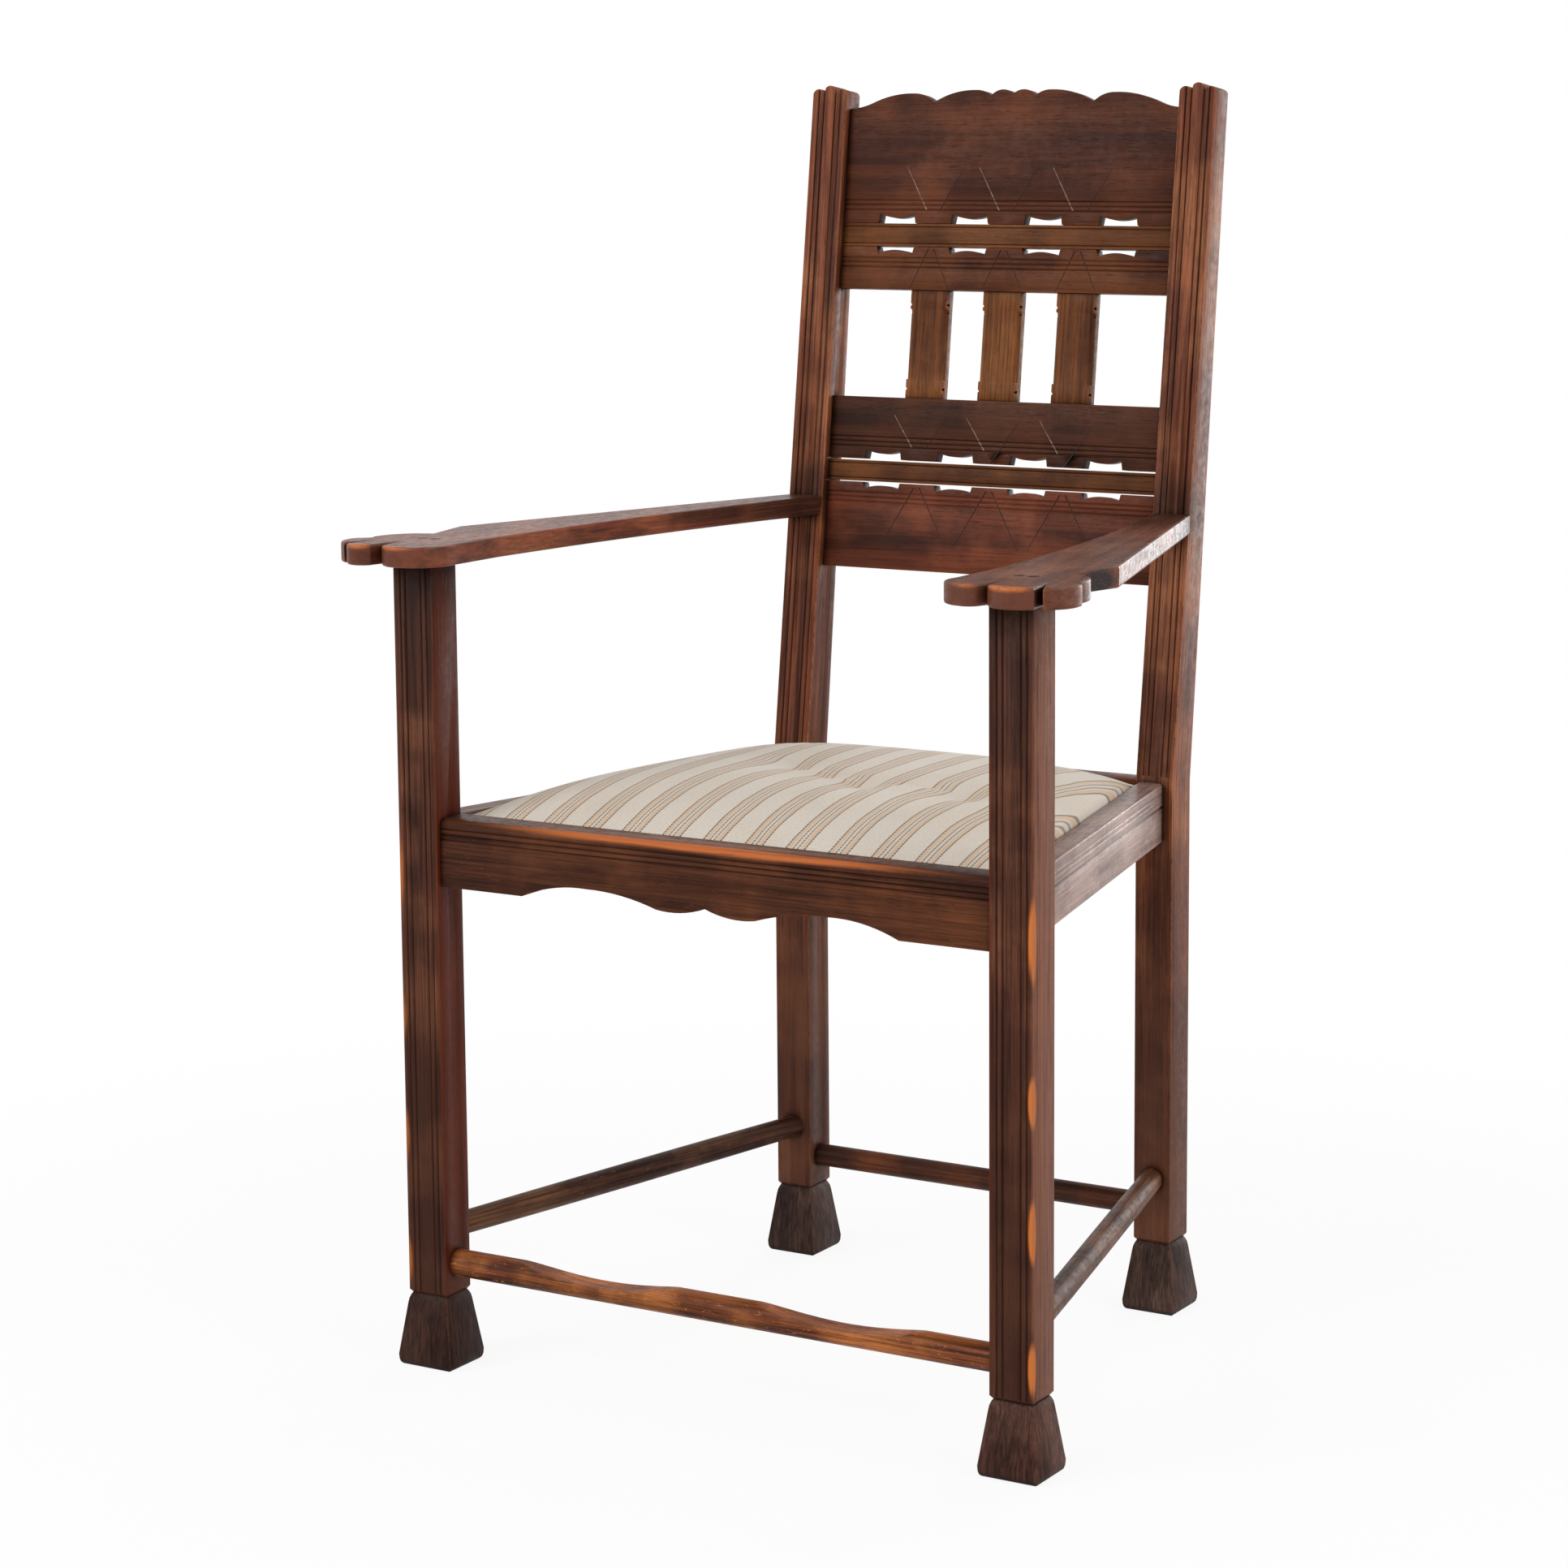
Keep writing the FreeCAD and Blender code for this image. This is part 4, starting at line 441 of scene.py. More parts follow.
@dataclass(frozen=True)
class StripedCloth(Finish):
    """Cream linen weave: each stripe has four dark dotted threads between two soft tan bands."""

    name: str = "striped linen"
    ground: str = "#dcd1c3"
    shadow: str = "#cfc2ae"
    band: str = "#cb9c66"
    thread: str = "#38230f"
    pitch: float = 38.8 * MM
    start: float = 34.1 * MM
    half_stripe: float = 8.2 * MM
    inner_thread: float = 2.0 * MM
    thread_width: float = 1.35 * MM
    stitch_length: float = 3.2 * MM
    yarn: float = 1.3 * MM
    wander: float = 0.5 * MM
    whole_pitches: int = 100

    def bands(self, recipe: Recipe, away: Socket) -> Socket:
        """Say where the tan bands are.

        Args:
            recipe: The recipe in hand.
            away: The distance from the stripe's middle.

        Returns:
            The bands' strength.
        """
        rim = recipe.add("MapRange", EASE, {0: away, 1: self.half_stripe, 2: self.half_stripe - 0.5 * MM,
                                            3: 0.0, 4: 1.0})
        gap = recipe.add("MapRange", EASE, {0: away, 1: self.inner_thread + 1.6 * MM,
                                            2: self.inner_thread + 2.6 * MM, 3: 0.25, 4: 1.0})
        return recipe.add("Math", TIMES, {0: rim, 1: gap})

    def threads(self, recipe: Recipe, away: Socket, along: Socket) -> Socket:
        """Say where the dark threads show.

        Args:
            recipe: The recipe in hand.
            away: The distance from the stripe's middle.
            along: The distance along the stripe.

        Returns:
            The threads' strength.
        """
        steps = recipe.add("Math", TIMES, {0: along, 1: 2 * math.pi / self.stitch_length})
        dots = recipe.add("Math", WAVE, {0: steps})
        dashes = recipe.add("MapRange", EASE, {0: dots, 1: -0.55, 2: 0.1, 3: 0.4, 4: 1.0})
        threads = 0.0
        for centre, weight in ((self.half_stripe, 1.0), (self.inner_thread, 0.85)):
            shift = recipe.add("Math", MINUS, {0: away, 1: centre})
            off = recipe.add("Math", SIZE_OF, {0: shift})
            line = recipe.add("MapRange", EASE, {0: off, 1: self.thread_width * 0.75,
                                                 2: self.thread_width * 0.25, 3: 0.0, 4: weight})
            threads = recipe.add("Math", LARGER, {0: line, 1: threads})
        return recipe.add("Math", TIMES, {0: threads, 1: dashes})

    def skin(self, recipe: Recipe) -> Socket:
        """Weave the cloth on the cushion's own map of the flat cloth, in metres.

        Args:
            recipe: The material\'s recipe.

        Returns:
            The shader.
        """
        cloth = recipe.add("UVMap", {"uv_map": "cloth"}, {})
        across = recipe.add("SeparateXYZ", {}, {0: cloth}, 0)
        along = recipe.add("SeparateXYZ", {}, {0: cloth}, 1)
        wobble = recipe.add("TexNoise", {}, {"Vector": cloth, "Scale": 24.0, "Detail": 2.0})
        stray = recipe.add("MapRange", EASE, {0: wobble, 1: 0.3, 2: 0.7, 3: -self.wander, 4: self.wander})
        across = recipe.add("Math", PLUS, {0: across, 1: stray})
        shifted = recipe.add("Math", PLUS, {0: across, 1: self.start + self.whole_pitches * self.pitch})
        phase = recipe.add("Math", {"operation": "MODULO"}, {0: shifted, 1: self.pitch})
        centred = recipe.add("Math", MINUS, {0: phase, 1: self.pitch / 2})
        away = recipe.add("Math", SIZE_OF, {0: centred})
        bands = self.bands(recipe, away)
        threads = self.threads(recipe, away, along)
        waves = []
        for run in (across, along):
            steps = recipe.add("Math", TIMES, {0: run, 1: 2 * math.pi / self.yarn})
            waves.append(recipe.add("Math", WAVE, {0: steps}))
        weave = recipe.add("Math", TIMES, {0: waves[0], 1: waves[1]})
        slub = recipe.add("TexNoise", {}, {"Vector": cloth, "Scale": 420.0, "Detail": 3.0})
        soil = recipe.add("TexNoise", {}, {"Vector": cloth, "Scale": 9.0, "Detail": 3.0})
        body = recipe.tinted(linear(self.ground), self.shadow, soil, (0.35, 0.7), 0.6)
        for level, most, colour in ((bands, 0.5, self.band), (threads, 0.95, self.thread)):
            share = recipe.add("Math", TIMES, {0: level, 1: most})
            body = recipe.add("Mix", TINT, {0: share, 6: body, 7: linear(colour)}, 2)
        shade = recipe.add("MapRange", EASE, {0: slub, 1: 0.25, 2: 0.75, 3: 0.93, 4: 1.05})
        body = recipe.add("Mix", SHADE, {0: 1.0, 6: body, 7: shade}, 2)
        lumps = recipe.add("Math", TIMES, {0: slub, 1: 0.8})
        relief = recipe.add("Math", TIMES_PLUS, {0: weave, 1: 0.5, 2: lumps})
        bump = recipe.add("Bump", {}, {"Strength": 0.3, "Distance": 0.4 * MM, "Height": relief})
        return recipe.add("BsdfPrincipled", {}, {"Base Color": body, "Roughness": 0.9, "Sheen Weight": 0.2,
                                                 "Sheen Roughness": 0.5, "Normal": bump})


@dataclass(frozen=True)
class JuteWeave(Finish):
    """Coarse undyed jute: tan yarns over and under, matt and hairy."""

    light: str
    dark: str
    yarn: float

    def skin(self, recipe: Recipe) -> Socket:
        """Cross the yarns and roughen them with fuzz.

        Args:
            recipe: The material\'s recipe.

        Returns:
            The shader.
        """
        place = recipe.add("TexCoord", {}, {}, "Object")
        waves = []
        for axis in (0, 1):
            run = recipe.add("SeparateXYZ", {}, {0: place}, axis)
            steps = recipe.add("Math", TIMES, {0: run, 1: math.pi / self.yarn})
            waves.append(recipe.add("Math", WAVE, {0: steps}))
        both = recipe.add("Math", TIMES, {0: waves[0], 1: waves[1]})
        crossing = recipe.add("Math", SIZE_OF, {0: both})
        fuzz = recipe.add("TexNoise", {}, {"Vector": place, "Scale": 600.0, "Detail": 3.0})
        level = recipe.add("Math", TIMES_PLUS, {0: fuzz, 1: 0.6, 2: crossing})
        body = recipe.tinted(linear(self.dark), self.light, level, (0.2, 1.1), 1.0)
        bump = recipe.add("Bump", {}, {"Strength": 0.7, "Distance": 0.6 * MM, "Height": level})
        return recipe.add("BsdfPrincipled", {}, {"Base Color": body, "Roughness": 0.95, "Normal": bump})


@dataclass(frozen=True)
class ScrewSteel(Finish):
    """Old drawn steel: grey, dull, a little brown with age."""

    name: str = "aged steel"
    steel: str = "#8d8983"
    brown: str = "#5c4636"

    def skin(self, recipe: Recipe) -> Socket:
        """Stain dull metal.

        Args:
            recipe: The material\'s recipe.

        Returns:
            The shader.
        """
        place = recipe.add("TexCoord", {}, {}, "Object")
        stain = recipe.add("TexNoise", {}, {"Vector": place, "Scale": 260.0, "Detail": 4.0})
        body = recipe.tinted(linear(self.steel), self.brown, stain, (0.42, 0.7), 1.0)
        rough = recipe.add("MapRange", EASE, {0: stain, 1: 0.3, 2: 0.7, 3: 0.35, 4: 0.6})
        return recipe.add("BsdfPrincipled", {}, {"Base Color": body, "Metallic": 1.0, "Roughness": rough})


def seen_directly(recipe: Recipe) -> Socket:
    """Tell rays that should meet a white backdrop from those that light the chair.

    Args:
        recipe: The recipe in hand.

    Returns:
        A value that is 1 for camera, mirror and glass rays.
    """
    rays = [recipe.add("LightPath", {}, {}, f"Is {kind} Ray")
            for kind in ("Camera", "Glossy", "Transmission")]
    seen = recipe.add("Math", LARGER, {0: rays[0], 1: rays[1]})
    return recipe.add("Math", LARGER, {0: seen, 1: rays[2]})


@dataclass(frozen=True)
class WhitePaper(Finish):
    """A floor that looks white and keeps a faint shadow near the chair."""

    name: str = "white paper"
    white: float = 0.9
    shadow_near: float = 0.55
    shadow_far: float = 1.5
    least_glow: float = 0.89

    def skin(self, recipe: Recipe) -> Socket:
        """Mix matt paper, which takes shadows, with a glow that grows away from the chair.

        Args:
            recipe: The material\'s recipe.

        Returns:
            The shader.
        """
        place = recipe.add("TexCoord", {}, {}, "Object")
        away = recipe.add("VectorMath", {"operation": "LENGTH"}, {0: place}, "Value")
        plain = recipe.add("MapRange", EASE, {0: away, 1: self.shadow_near, 2: self.shadow_far,
                                              3: self.least_glow, 4: 1.0})
        matt = recipe.add("BsdfDiffuse", {}, {"Color": (self.white, self.white, self.white, 1.0)})
        glow = recipe.add("Emission", {}, {"Color": (1.0, 1.0, 1.0, 1.0), "Strength": 1.0})
        share = recipe.add("Math", TIMES, {0: seen_directly(recipe), 1: plain})
        return recipe.add("MixShader", {}, {0: share, 1: matt, 2: glow})


def select_only(thing: Thing) -> None:
    """Deselect everything, then select and activate one object.

    Args:
        thing: The object.
    """
    bpy.ops.object.select_all(action="DESELECT")
    thing.hide_viewport = False
    thing.select_set(True)
    bpy.context.view_layer.objects.active = thing


def newest() -> Thing:
    """Find the object that an operator has just made."""
    return bpy.context.view_layer.objects.active


@contextmanager
def editing(thing: Thing) -> Iterator[None]:
    """Open an object's mesh with all of it selected, and close it afterwards.

    Args:
        thing: The object.
    """
    select_only(thing)
    bpy.ops.object.mode_set(mode="EDIT")
    bpy.ops.mesh.select_all(action="SELECT")
    yield
    bpy.ops.object.mode_set(mode="OBJECT")


def dress(thing: Thing, material: bpy.types.Material) -> None:
    """Give an object one material in place of what it has.

    Args:
        thing: The object.
        material: Its material.
    """
    thing.data.materials.clear()
    thing.data.materials.append(material)


def apply_modifier(thing: Thing, kind: str, **settings) -> None:
    """Add a modifier and apply it at once.

    Args:
        thing: The object to change.
        kind: The modifier's type.
        settings: Its properties.
    """
    select_only(thing)
    modifier = thing.modifiers.new(kind.title(), kind)
    for name, value in settings.items():
        setattr(modifier, name, value)
    bpy.ops.object.modifier_apply(modifier=modifier.name)


def shade_round(thing: Thing, sharpest: float) -> None:
    """Shade an object smooth, all but its sharp edges.

    Args:
        thing: The object.
        sharpest: The sharpest turn between faces that still looks round, in degrees.
    """
    select_only(thing)
    bpy.ops.object.shade_smooth_by_angle(angle=math.radians(sharpest))


@dataclass(frozen=True)
class Lean:
    """The leaning plane of the chair's back, with the posts' front face in it."""

    bend: float = 470 * MM
    post_face: float = 190.427 * MM
    angle: float = math.radians(7.5)

    def at(self, across: float, up: float, back: float) -> Vector:
        """Find a point of the back.

        Args:
            across: From the middle to the right.
            up: Above the bend, along the lean.
            back: Behind the posts' front face.

        Returns:
            The point in the chair's frame.
        """
        return Vector((across, self.post_face + up * math.sin(self.angle) + back * math.cos(self.angle),
                       self.bend + up * math.cos(self.angle) - back * math.sin(self.angle)))


@dataclass(frozen=True)
class Bench:
    """The work in hand: the loaded sub-parts, and how they become finished pieces."""

    frame: dict
    merge_reach: float = 0.01 * MM
    flat_turn: float = math.radians(0.4)
    edge_turn: float = math.radians(32)

    def traced(self, node: str) -> Thing:
        """Copy a sub-part as one clean skin, ready for tools.

        Args:
            node: The sub-part to copy.

        Returns:
            The copy, with its doubles merged and its flat faces whole.
        """
        select_only(self.frame["nodes"][node])
        bpy.ops.object.duplicate()
        piece = newest()
        piece.name = f"finished_{node}"
        piece.parent = None
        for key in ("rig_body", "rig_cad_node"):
            if key in piece:
                del piece[key]
        bpy.ops.mesh.customdata_custom_splitnormals_clear()
        with editing(piece):
            bpy.ops.mesh.remove_doubles(threshold=self.merge_reach)
            bpy.ops.mesh.dissolve_limited(angle_limit=self.flat_turn)
        return piece

    def shown_plain(self, node: str, material: bpy.types.Material) -> None:
        """Show a sub-part's own solid in a material."""
        dress(self.frame["nodes"][node], material)
        LOG.info("%s: shown as its solid", node)

    def settle(self, piece: Thing, body: str, slot: str, *nodes: str) -> None:
        """Let a finished piece ride on its body in the place of the sub-parts it shows.

        Args:
            piece: The finished piece.
            body: The body it rides on.
            slot: The record's material slot; not used.
            nodes: The sub-parts.
        """
        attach(piece, body)
        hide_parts(*nodes)
        LOG.info("%s: %d faces on %s", piece.name, len(piece.data.polygons), body)

    def wooden(self, node: str, finish: Finish, ease: float, body: str = "chair", slot: str = "oak",
               cutter: Thing | None = None, sharpest: float = 38) -> None:
        """Make a finished wooden piece: edges eased as plane and use left them, then carved.

        Args:
            node: The sub-part that it shows.
            finish: Its finish.
            ease: The width of its eased edges, or 0 where the sub-part has them.
            body: The body it rides on.
            slot: The record's material slot.
            cutter: What is carved out of it.
            sharpest: The sharpest turn between faces that still looks round, in degrees.
        """
        piece = self.traced(node)
        dress(piece, finish.make())
        if ease:
            apply_modifier(piece, "BEVEL", width=ease, segments=2, limit_method="ANGLE",
                           angle_limit=self.edge_turn, use_clamp_overlap=True, miter_outer="MITER_ARC")
        if cutter:
            apply_modifier(piece, "BOOLEAN", operation="DIFFERENCE", solver="EXACT", object=cutter,
                           material_mode="TRANSFER")
            bpy.data.objects.remove(cutter)
        shade_round(piece, sharpest)
        self.settle(piece, body, slot, node)

    def joined(self, pieces: list[Thing], name: str) -> Thing:
        """Join several objects into one with its place in its mesh.

        Args:
            pieces: The objects, which all have their own mesh.
            name: The joined object's name.

        Returns:
            The joined object.
        """
        select_only(pieces[0])
        for piece in pieces:
            piece.select_set(True)
        bpy.ops.object.transform_apply(location=True, rotation=True, scale=True)
        bpy.ops.object.join()
        whole = newest()
        whole.name = name
        return whole


class Assembly(ABC):
    """A group of pieces that is finished together."""

    @abstractmethod
    def build(self, bench: Bench) -> None:
        """Finish the group's pieces.

        Args:
            bench: The work in hand.
        """


@dataclass(frozen=True)
class Uprights(Assembly):
    """Front legs, raking rear posts and the flared blocks that they stand on.

    Places on the legs and posts are in millimetres, and so is each rub's height and half length.
    """

    reed_ease: float = 0.45 * MM
    foot_ease: float = 1.6 * MM
    leg_side: float = 296.0
    leg_front: float = -248.0
    leg_wide: float = 38.5
    leg_x: float = 277
    leg_y: float = -231
    post_x: float = 182
    leg_rubs: tuple[Span, ...] = ((424, 40), (300, 24), (198, 30), (90, 26))
    foot_tones: ClassVar[dict[str, tuple[str, str, str]]] = {
        "front right": ("#341e17", "#4c2f27", "#664639"), "front left": ("#23130f", "#331e18", "#482e24"),
        "rear right": ("#2d1e1a", "#45322b", "#5f4940"), "rear left": ("#2d1e1a", "#45322b", "#5f4940")}

    def leg_marks(self, side: int) -> tuple[Mark, ...]:
        """List a front leg's bare corner, dark foot, red inner face, the painted shade under the arm at
        its top, and the painted sheen on its outer side.

        Args:
            side: 1 on the right, or -1.

        Returns:
            The marks, from the lowest layer up.
        """
        right = side > 0
        low = Mark((side * self.leg_x, self.leg_y, 130), (40, 40, 330), "#2f170e", 0.75)
        inner = Mark((side * (self.leg_side - self.leg_wide), self.leg_y, 340), (3.5, 45, 600),
                     "#5a210d", 0.8)
        bare = tuple(Mark((side * self.leg_side, self.leg_front, level), (6 if right else 5, 5, half),
                          "#c9702f", 2.4 if right else 0.6) for level, half in self.leg_rubs)
        # Painted shade under the arm, on the top of the leg.
        arm_shade = Mark((side * self.leg_x, self.leg_y, 700), (60, 60, 75), "#1b0d09", 0.9)
        # Painted sheen: the leg's outer face is paler where the light grazes it, most on the right leg.
        outer_sheen = Mark((side * (self.leg_side + 1), self.leg_y, 340), (5, 45, 600), "#94624e",
                     0.6 if right else 0.2)
        return (low, inner) + bare + (arm_shade, outer_sheen)

    def post_marks(self, side: int) -> tuple[Mark, ...]:
        """List a rear post's dull foot and the painted shade where the arm meets it.

        Args:
            side: 1 on the right, or -1.

        Returns:
            The marks, from the lowest layer up.
        """
        joint = Lean().at(side * self.post_x * MM, 235 * MM, 0.0) / MM
        return (Mark((side * self.post_x, 208, 130), (60, 60, 350), "#402a22", 0.7),
                # Painted shade under the arm, where it meets the post.
                Mark(tuple(joint), (40, 30, 40), "#1c0e09", 0.7))

    def build(self, bench: Bench) -> None:
        """Finish the four uprights and their feet.

        Args:
            bench: The work in hand.
        """
        for side, hand, _ in SIDES:
            leg = StainedOak(f"stained oak, front leg {hand}", Grain.UPRIGHT, 3 + side, dark="#321910",
                             middle="#4e2c1f", light="#744731", streak=0.6, wear=0.5,
                             marks=self.leg_marks(side))
            bench.wooden(f"front_leg_{hand}", leg, self.reed_ease)
            post = StainedOak(f"stained oak, rear post {hand}", Grain.UPRIGHT, 8 + side, dark="#4b271a",
                              middle="#74402a", light="#9a603e", bare="#c8733a", streak=0.65, wear=0.95,
                              lean=Lean().angle, marks=self.post_marks(side))
            bench.wooden(f"rear_post_{hand}", post, self.reed_ease)
            for place, end in enumerate(("front", "rear")):
                dark, middle, light = self.foot_tones[f"{end} {hand}"]
                foot = StainedOak(f"stained oak, {end} foot {hand}", Grain.UPRIGHT, 12 + 2 * side + place,
                                  dark=dark, middle=middle, light=light, streak=0.7, wear=0.65, gloss=0.5)
                bench.wooden(f"{end}_foot_{hand}", foot, self.foot_ease)


@dataclass(frozen=True)
class Fan:
    """A V carved on a board: half its spread and its height in millimetres, at both its ends."""

    point_spread: float
    point_height: float
    open_spread: float
    open_height: float


@dataclass(frozen=True)
class Back(Assembly):
    """Scrolled crest, three plain boards, two grooved slats and three chamfered splats."""

    board_ease: float = 0.5 * MM
    splat_ease: float = 0.4 * MM
    face: float = 8 * MM
    splat_pitch: float = 73 * MM
    splat_half: float = 18.85 * MM
    splat_face: float = 10.5 * MM
    line_width: float = 0.8 * MM
    line_taper: float = 0.35
    nick_size: float = 2.2 * MM
    nick_stretch: float = 3.4
    nick_levels: tuple[float, ...] = (405 * MM, 398 * MM, 330 * MM)

    def carved_lines(self, bench: Bench, fan: Fan, left: bpy.types.Material,
                     right: bpy.types.Material) -> Thing:
        """Make the cutter for the V lines that fan out from each splat's place.

        Args:
            bench: The work in hand.
            fan: The lines' ends.
            left: What fills the lines on the left.
            right: What fills the lines on the right.

        Returns:
            The cutter.
        """
        lean = Lean()
        cuts = []
        for column, (side, filling) in product((-1, 0, 1), ((-1, left), (1, right))):
            middle = column * self.splat_pitch
            start = lean.at(middle + side * fan.point_spread * MM, fan.point_height * MM, self.face)
            end = lean.at(middle + side * fan.open_spread * MM, fan.open_height * MM, self.face)
            run = end - start
            turn = run.to_track_quat("Z", "Y").to_euler()
            bpy.ops.mesh.primitive_cone_add(vertices=4, radius1=self.line_width,
                                            radius2=self.line_width * self.line_taper,
                                            depth=run.length, location=(start + end) / 2, rotation=turn)
            cuts.append(newest())
            dress(cuts[-1], filling)
        return bench.joined(cuts, "carving_tool")

    def nick_tool(self, bench: Bench, column: int) -> Thing:
        """Make the cutter for the small nicks in both edges of a splat.

        Args:
            bench: The work in hand.
            column: Which splat, from -1 on the left to 1.

        Returns:
            The cutter.
        """
        lean = Lean()
        cuts = []
        for side, level in product((-1, 1), self.nick_levels):
            place = lean.at(column * self.splat_pitch + side * self.splat_half, level, self.splat_face)
            bpy.ops.mesh.primitive_cube_add(size=self.nick_size, location=place,
                                            rotation=(-lean.angle, math.radians(45), 0.0))
            cuts.append(newest())
            cuts[-1].scale = (1.0, self.nick_stretch, 1.0)
        return bench.joined(cuts, "nick_tool")

    def board(self, name: str, seed: int, **changes) -> StainedOak:
        """Choose the finish of a board of the back.

        Args:
            name: What the board is called.
            seed: Its place in the noise.
            changes: What differs from a plain board.

        Returns:
            The finish.
        """
        tones = {"dark": "#30170e", "middle": "#472616", "light": "#653820", "streak": 0.25, "wear": 0.35,
                 "ring_width": 22 * MM}
        return StainedOak(f"stained oak, {name}", Grain.CROSSWISE, seed, **(tones | changes))

    def build(self, bench: Bench) -> None:
        """Carve and finish the boards, slats and splats.

        Args:
            bench: The work in hand.
        """
        dirt = GrooveFilling("dirt in a carved line", "#2a1811").make()
        wax = GrooveFilling("dried wax in a carved line", "#a08c80").make()
        boards = (("crest_board", "crest", Fan(0.5, 478.0, 29.0, 527.0), wax, 21,
                   {"dark": "#36190f", "middle": "#502918", "light": "#6b3a22"}),
                  ("upper_back_board", "upper board", Fan(2.5, 454.5, 20.7, 417.0), dirt, 22,
                   {"middle": "#542c19", "light": "#704024"}),
                  ("lower_back_board", "lower board", Fan(0.5, 267.6, 27.0, 306.0), wax, 23,
                   {"dark": "#2a150d", "middle": "#412317", "light": "#5b3320"}),
                  ("bottom_back_board", "bottom board", Fan(2.5, 242.0, 32.0, 191.0), dirt, 24,
                   {"dark": "#371a11", "middle": "#60301f", "light": "#864830"}))
        for node, name, fan, left, seed, changes in boards:
            cutter = self.carved_lines(bench, fan, left, dirt)
            bench.wooden(node, self.board(name, seed, **changes), self.board_ease, cutter=cutter)
        for seed, level in enumerate(("upper", "lower"), start=25):
            finish = self.board(f"{level} slat", seed, dark="#442412", middle="#5f371d", light="#764827")
            bench.wooden(f"{level}_back_slat", finish, self.board_ease)
        for column, hand in enumerate(("left", "centre", "right"), start=-1):
            finish = StainedOak(f"stained oak, splat {hand}", Grain.UPRIGHT, 28 + column, dark="#452210",
                                middle="#66391c", light="#845128", streak=0.55, wear=1.0,
                                lean=Lean().angle, edge_reach=3.4 * MM)
            bench.wooden(f"splat_{hand}", finish, self.splat_ease, cutter=self.nick_tool(bench, column))


@dataclass(frozen=True)
class SeatRails(Assembly):
    """Rails round the seat: a scrolled front, grooved sides and a plain rear.

    The front rail's upper edge is given in millimetres, as its marks are.
    """

    top: float = 469.5
    front: float = -243.7
    half: float = 262
    eases: tuple[float, float, float] = (0.4 * MM, 0.8 * MM, 0.3 * MM)

    def build(self, bench: Bench) -> None:
        """Finish the four rails.

        Args:
            bench: The work in hand.
        """
        front_ease, rear_ease, side_ease = self.eases
        dulled = Mark((0.0, self.front + 16, self.top + 2), (self.half, 13, 5), "#8f5f49", 0.75)
        worn = Mark((0.0, self.front + 2, self.top), (self.half, 7, 7), "#bb6634", 1.5)
        front = StainedOak("stained oak, front rail", Grain.CROSSWISE, 31, dark="#32180e",
                           middle="#4c2918", light="#6c3d24", streak=0.45, fleck=0.4, wear=0.35,
                           marks=(dulled, worn))
        bench.wooden("front_seat_rail", front, front_ease)
        rear = StainedOak("stained oak, rear rail", Grain.CROSSWISE, 32, wear=0.3)
        bench.wooden("rear_seat_rail", rear, rear_ease)
        for side, hand, grain in SIDES:
            # The pale grey-brown tones are painted sheen: the wax's pale glint where light grazes the
            # rails, laid into their colour.
            finish = StainedOak(f"stained oak, side rail {hand}", grain, 34 + side, dark="#64463b",
                                middle="#93756a", light="#b29387", streak=0.4, fleck=0.35, wear=0.4,
                                gloss=0.36, polish=0.6)
            bench.wooden(f"side_seat_rail_{hand}", finish, side_ease)


@dataclass(frozen=True)
class Arms(Assembly):
    """Arms with lobed ends, smoothed by hands, and the plugs over their screws.

    The heights of their upper faces and their rear ends are given in millimetres, as their marks are.
    """

    top: float = 698.5
    rear: float = 190
    sharpest: float = 17

    def marks(self, side: int) -> tuple[Mark, ...]:
        """List an arm's rear darkened by painted shade near the post, brown lobes, recess darkened by
        painted shade, bare front edge and paler palm rest.

        Args:
            side: 1 on the right, or -1.

        Returns:
            The marks, from the lowest layer up.
        """
        # Painted shade: the arm darkens towards the post at its rear.
        return (Mark((side * 182, self.rear, 690), (70, 120, 40), "#1d0f0b", 0.85),
                Mark((side * 284, -284, 690), (76, 42, 20), "#56291a", 0.8),
                # Painted shade in the recess behind the lobes.
                Mark((side * 305, -164, 688), (14, 34, 14), "#1f1210", 1.6),
                Mark((side * 285, -292, self.top), (60, 12, 5), "#b9642c", 1.2),
                Mark((side * 262, -225, self.top), (28, 34, 9), "#8d5c46", 0.6))

    def build(self, bench: Bench) -> None:
        """Finish both arms and their plugs.

        Args:
            bench: The work in hand.
        """
        for side, hand, grain in SIDES:
            middle, light = ("#6b3c29", "#8d5a41") if side > 0 else ("#763a24", "#9c5a3b")
            finish = StainedOak(f"stained oak, arm {hand}", grain, 40 + side, dark="#4a2517",
                                middle=middle, light=light, bare="#b9642d", streak=0.4, fleck=0.3,
                                wear=0.8, gloss=0.36, polish=0.32, edge_reach=3.2 * MM,
                                marks=self.marks(side))
            bench.wooden(f"arm_{hand}", finish, 0.0, sharpest=self.sharpest)
        plug = StainedOak("stained oak, plugs", Grain.UPRIGHT, 43, dark="#22110b", middle="#3b2016",
                          light="#5a3726", wear=0.0)
        bench.shown_plain("arm_plugs", plug.make())


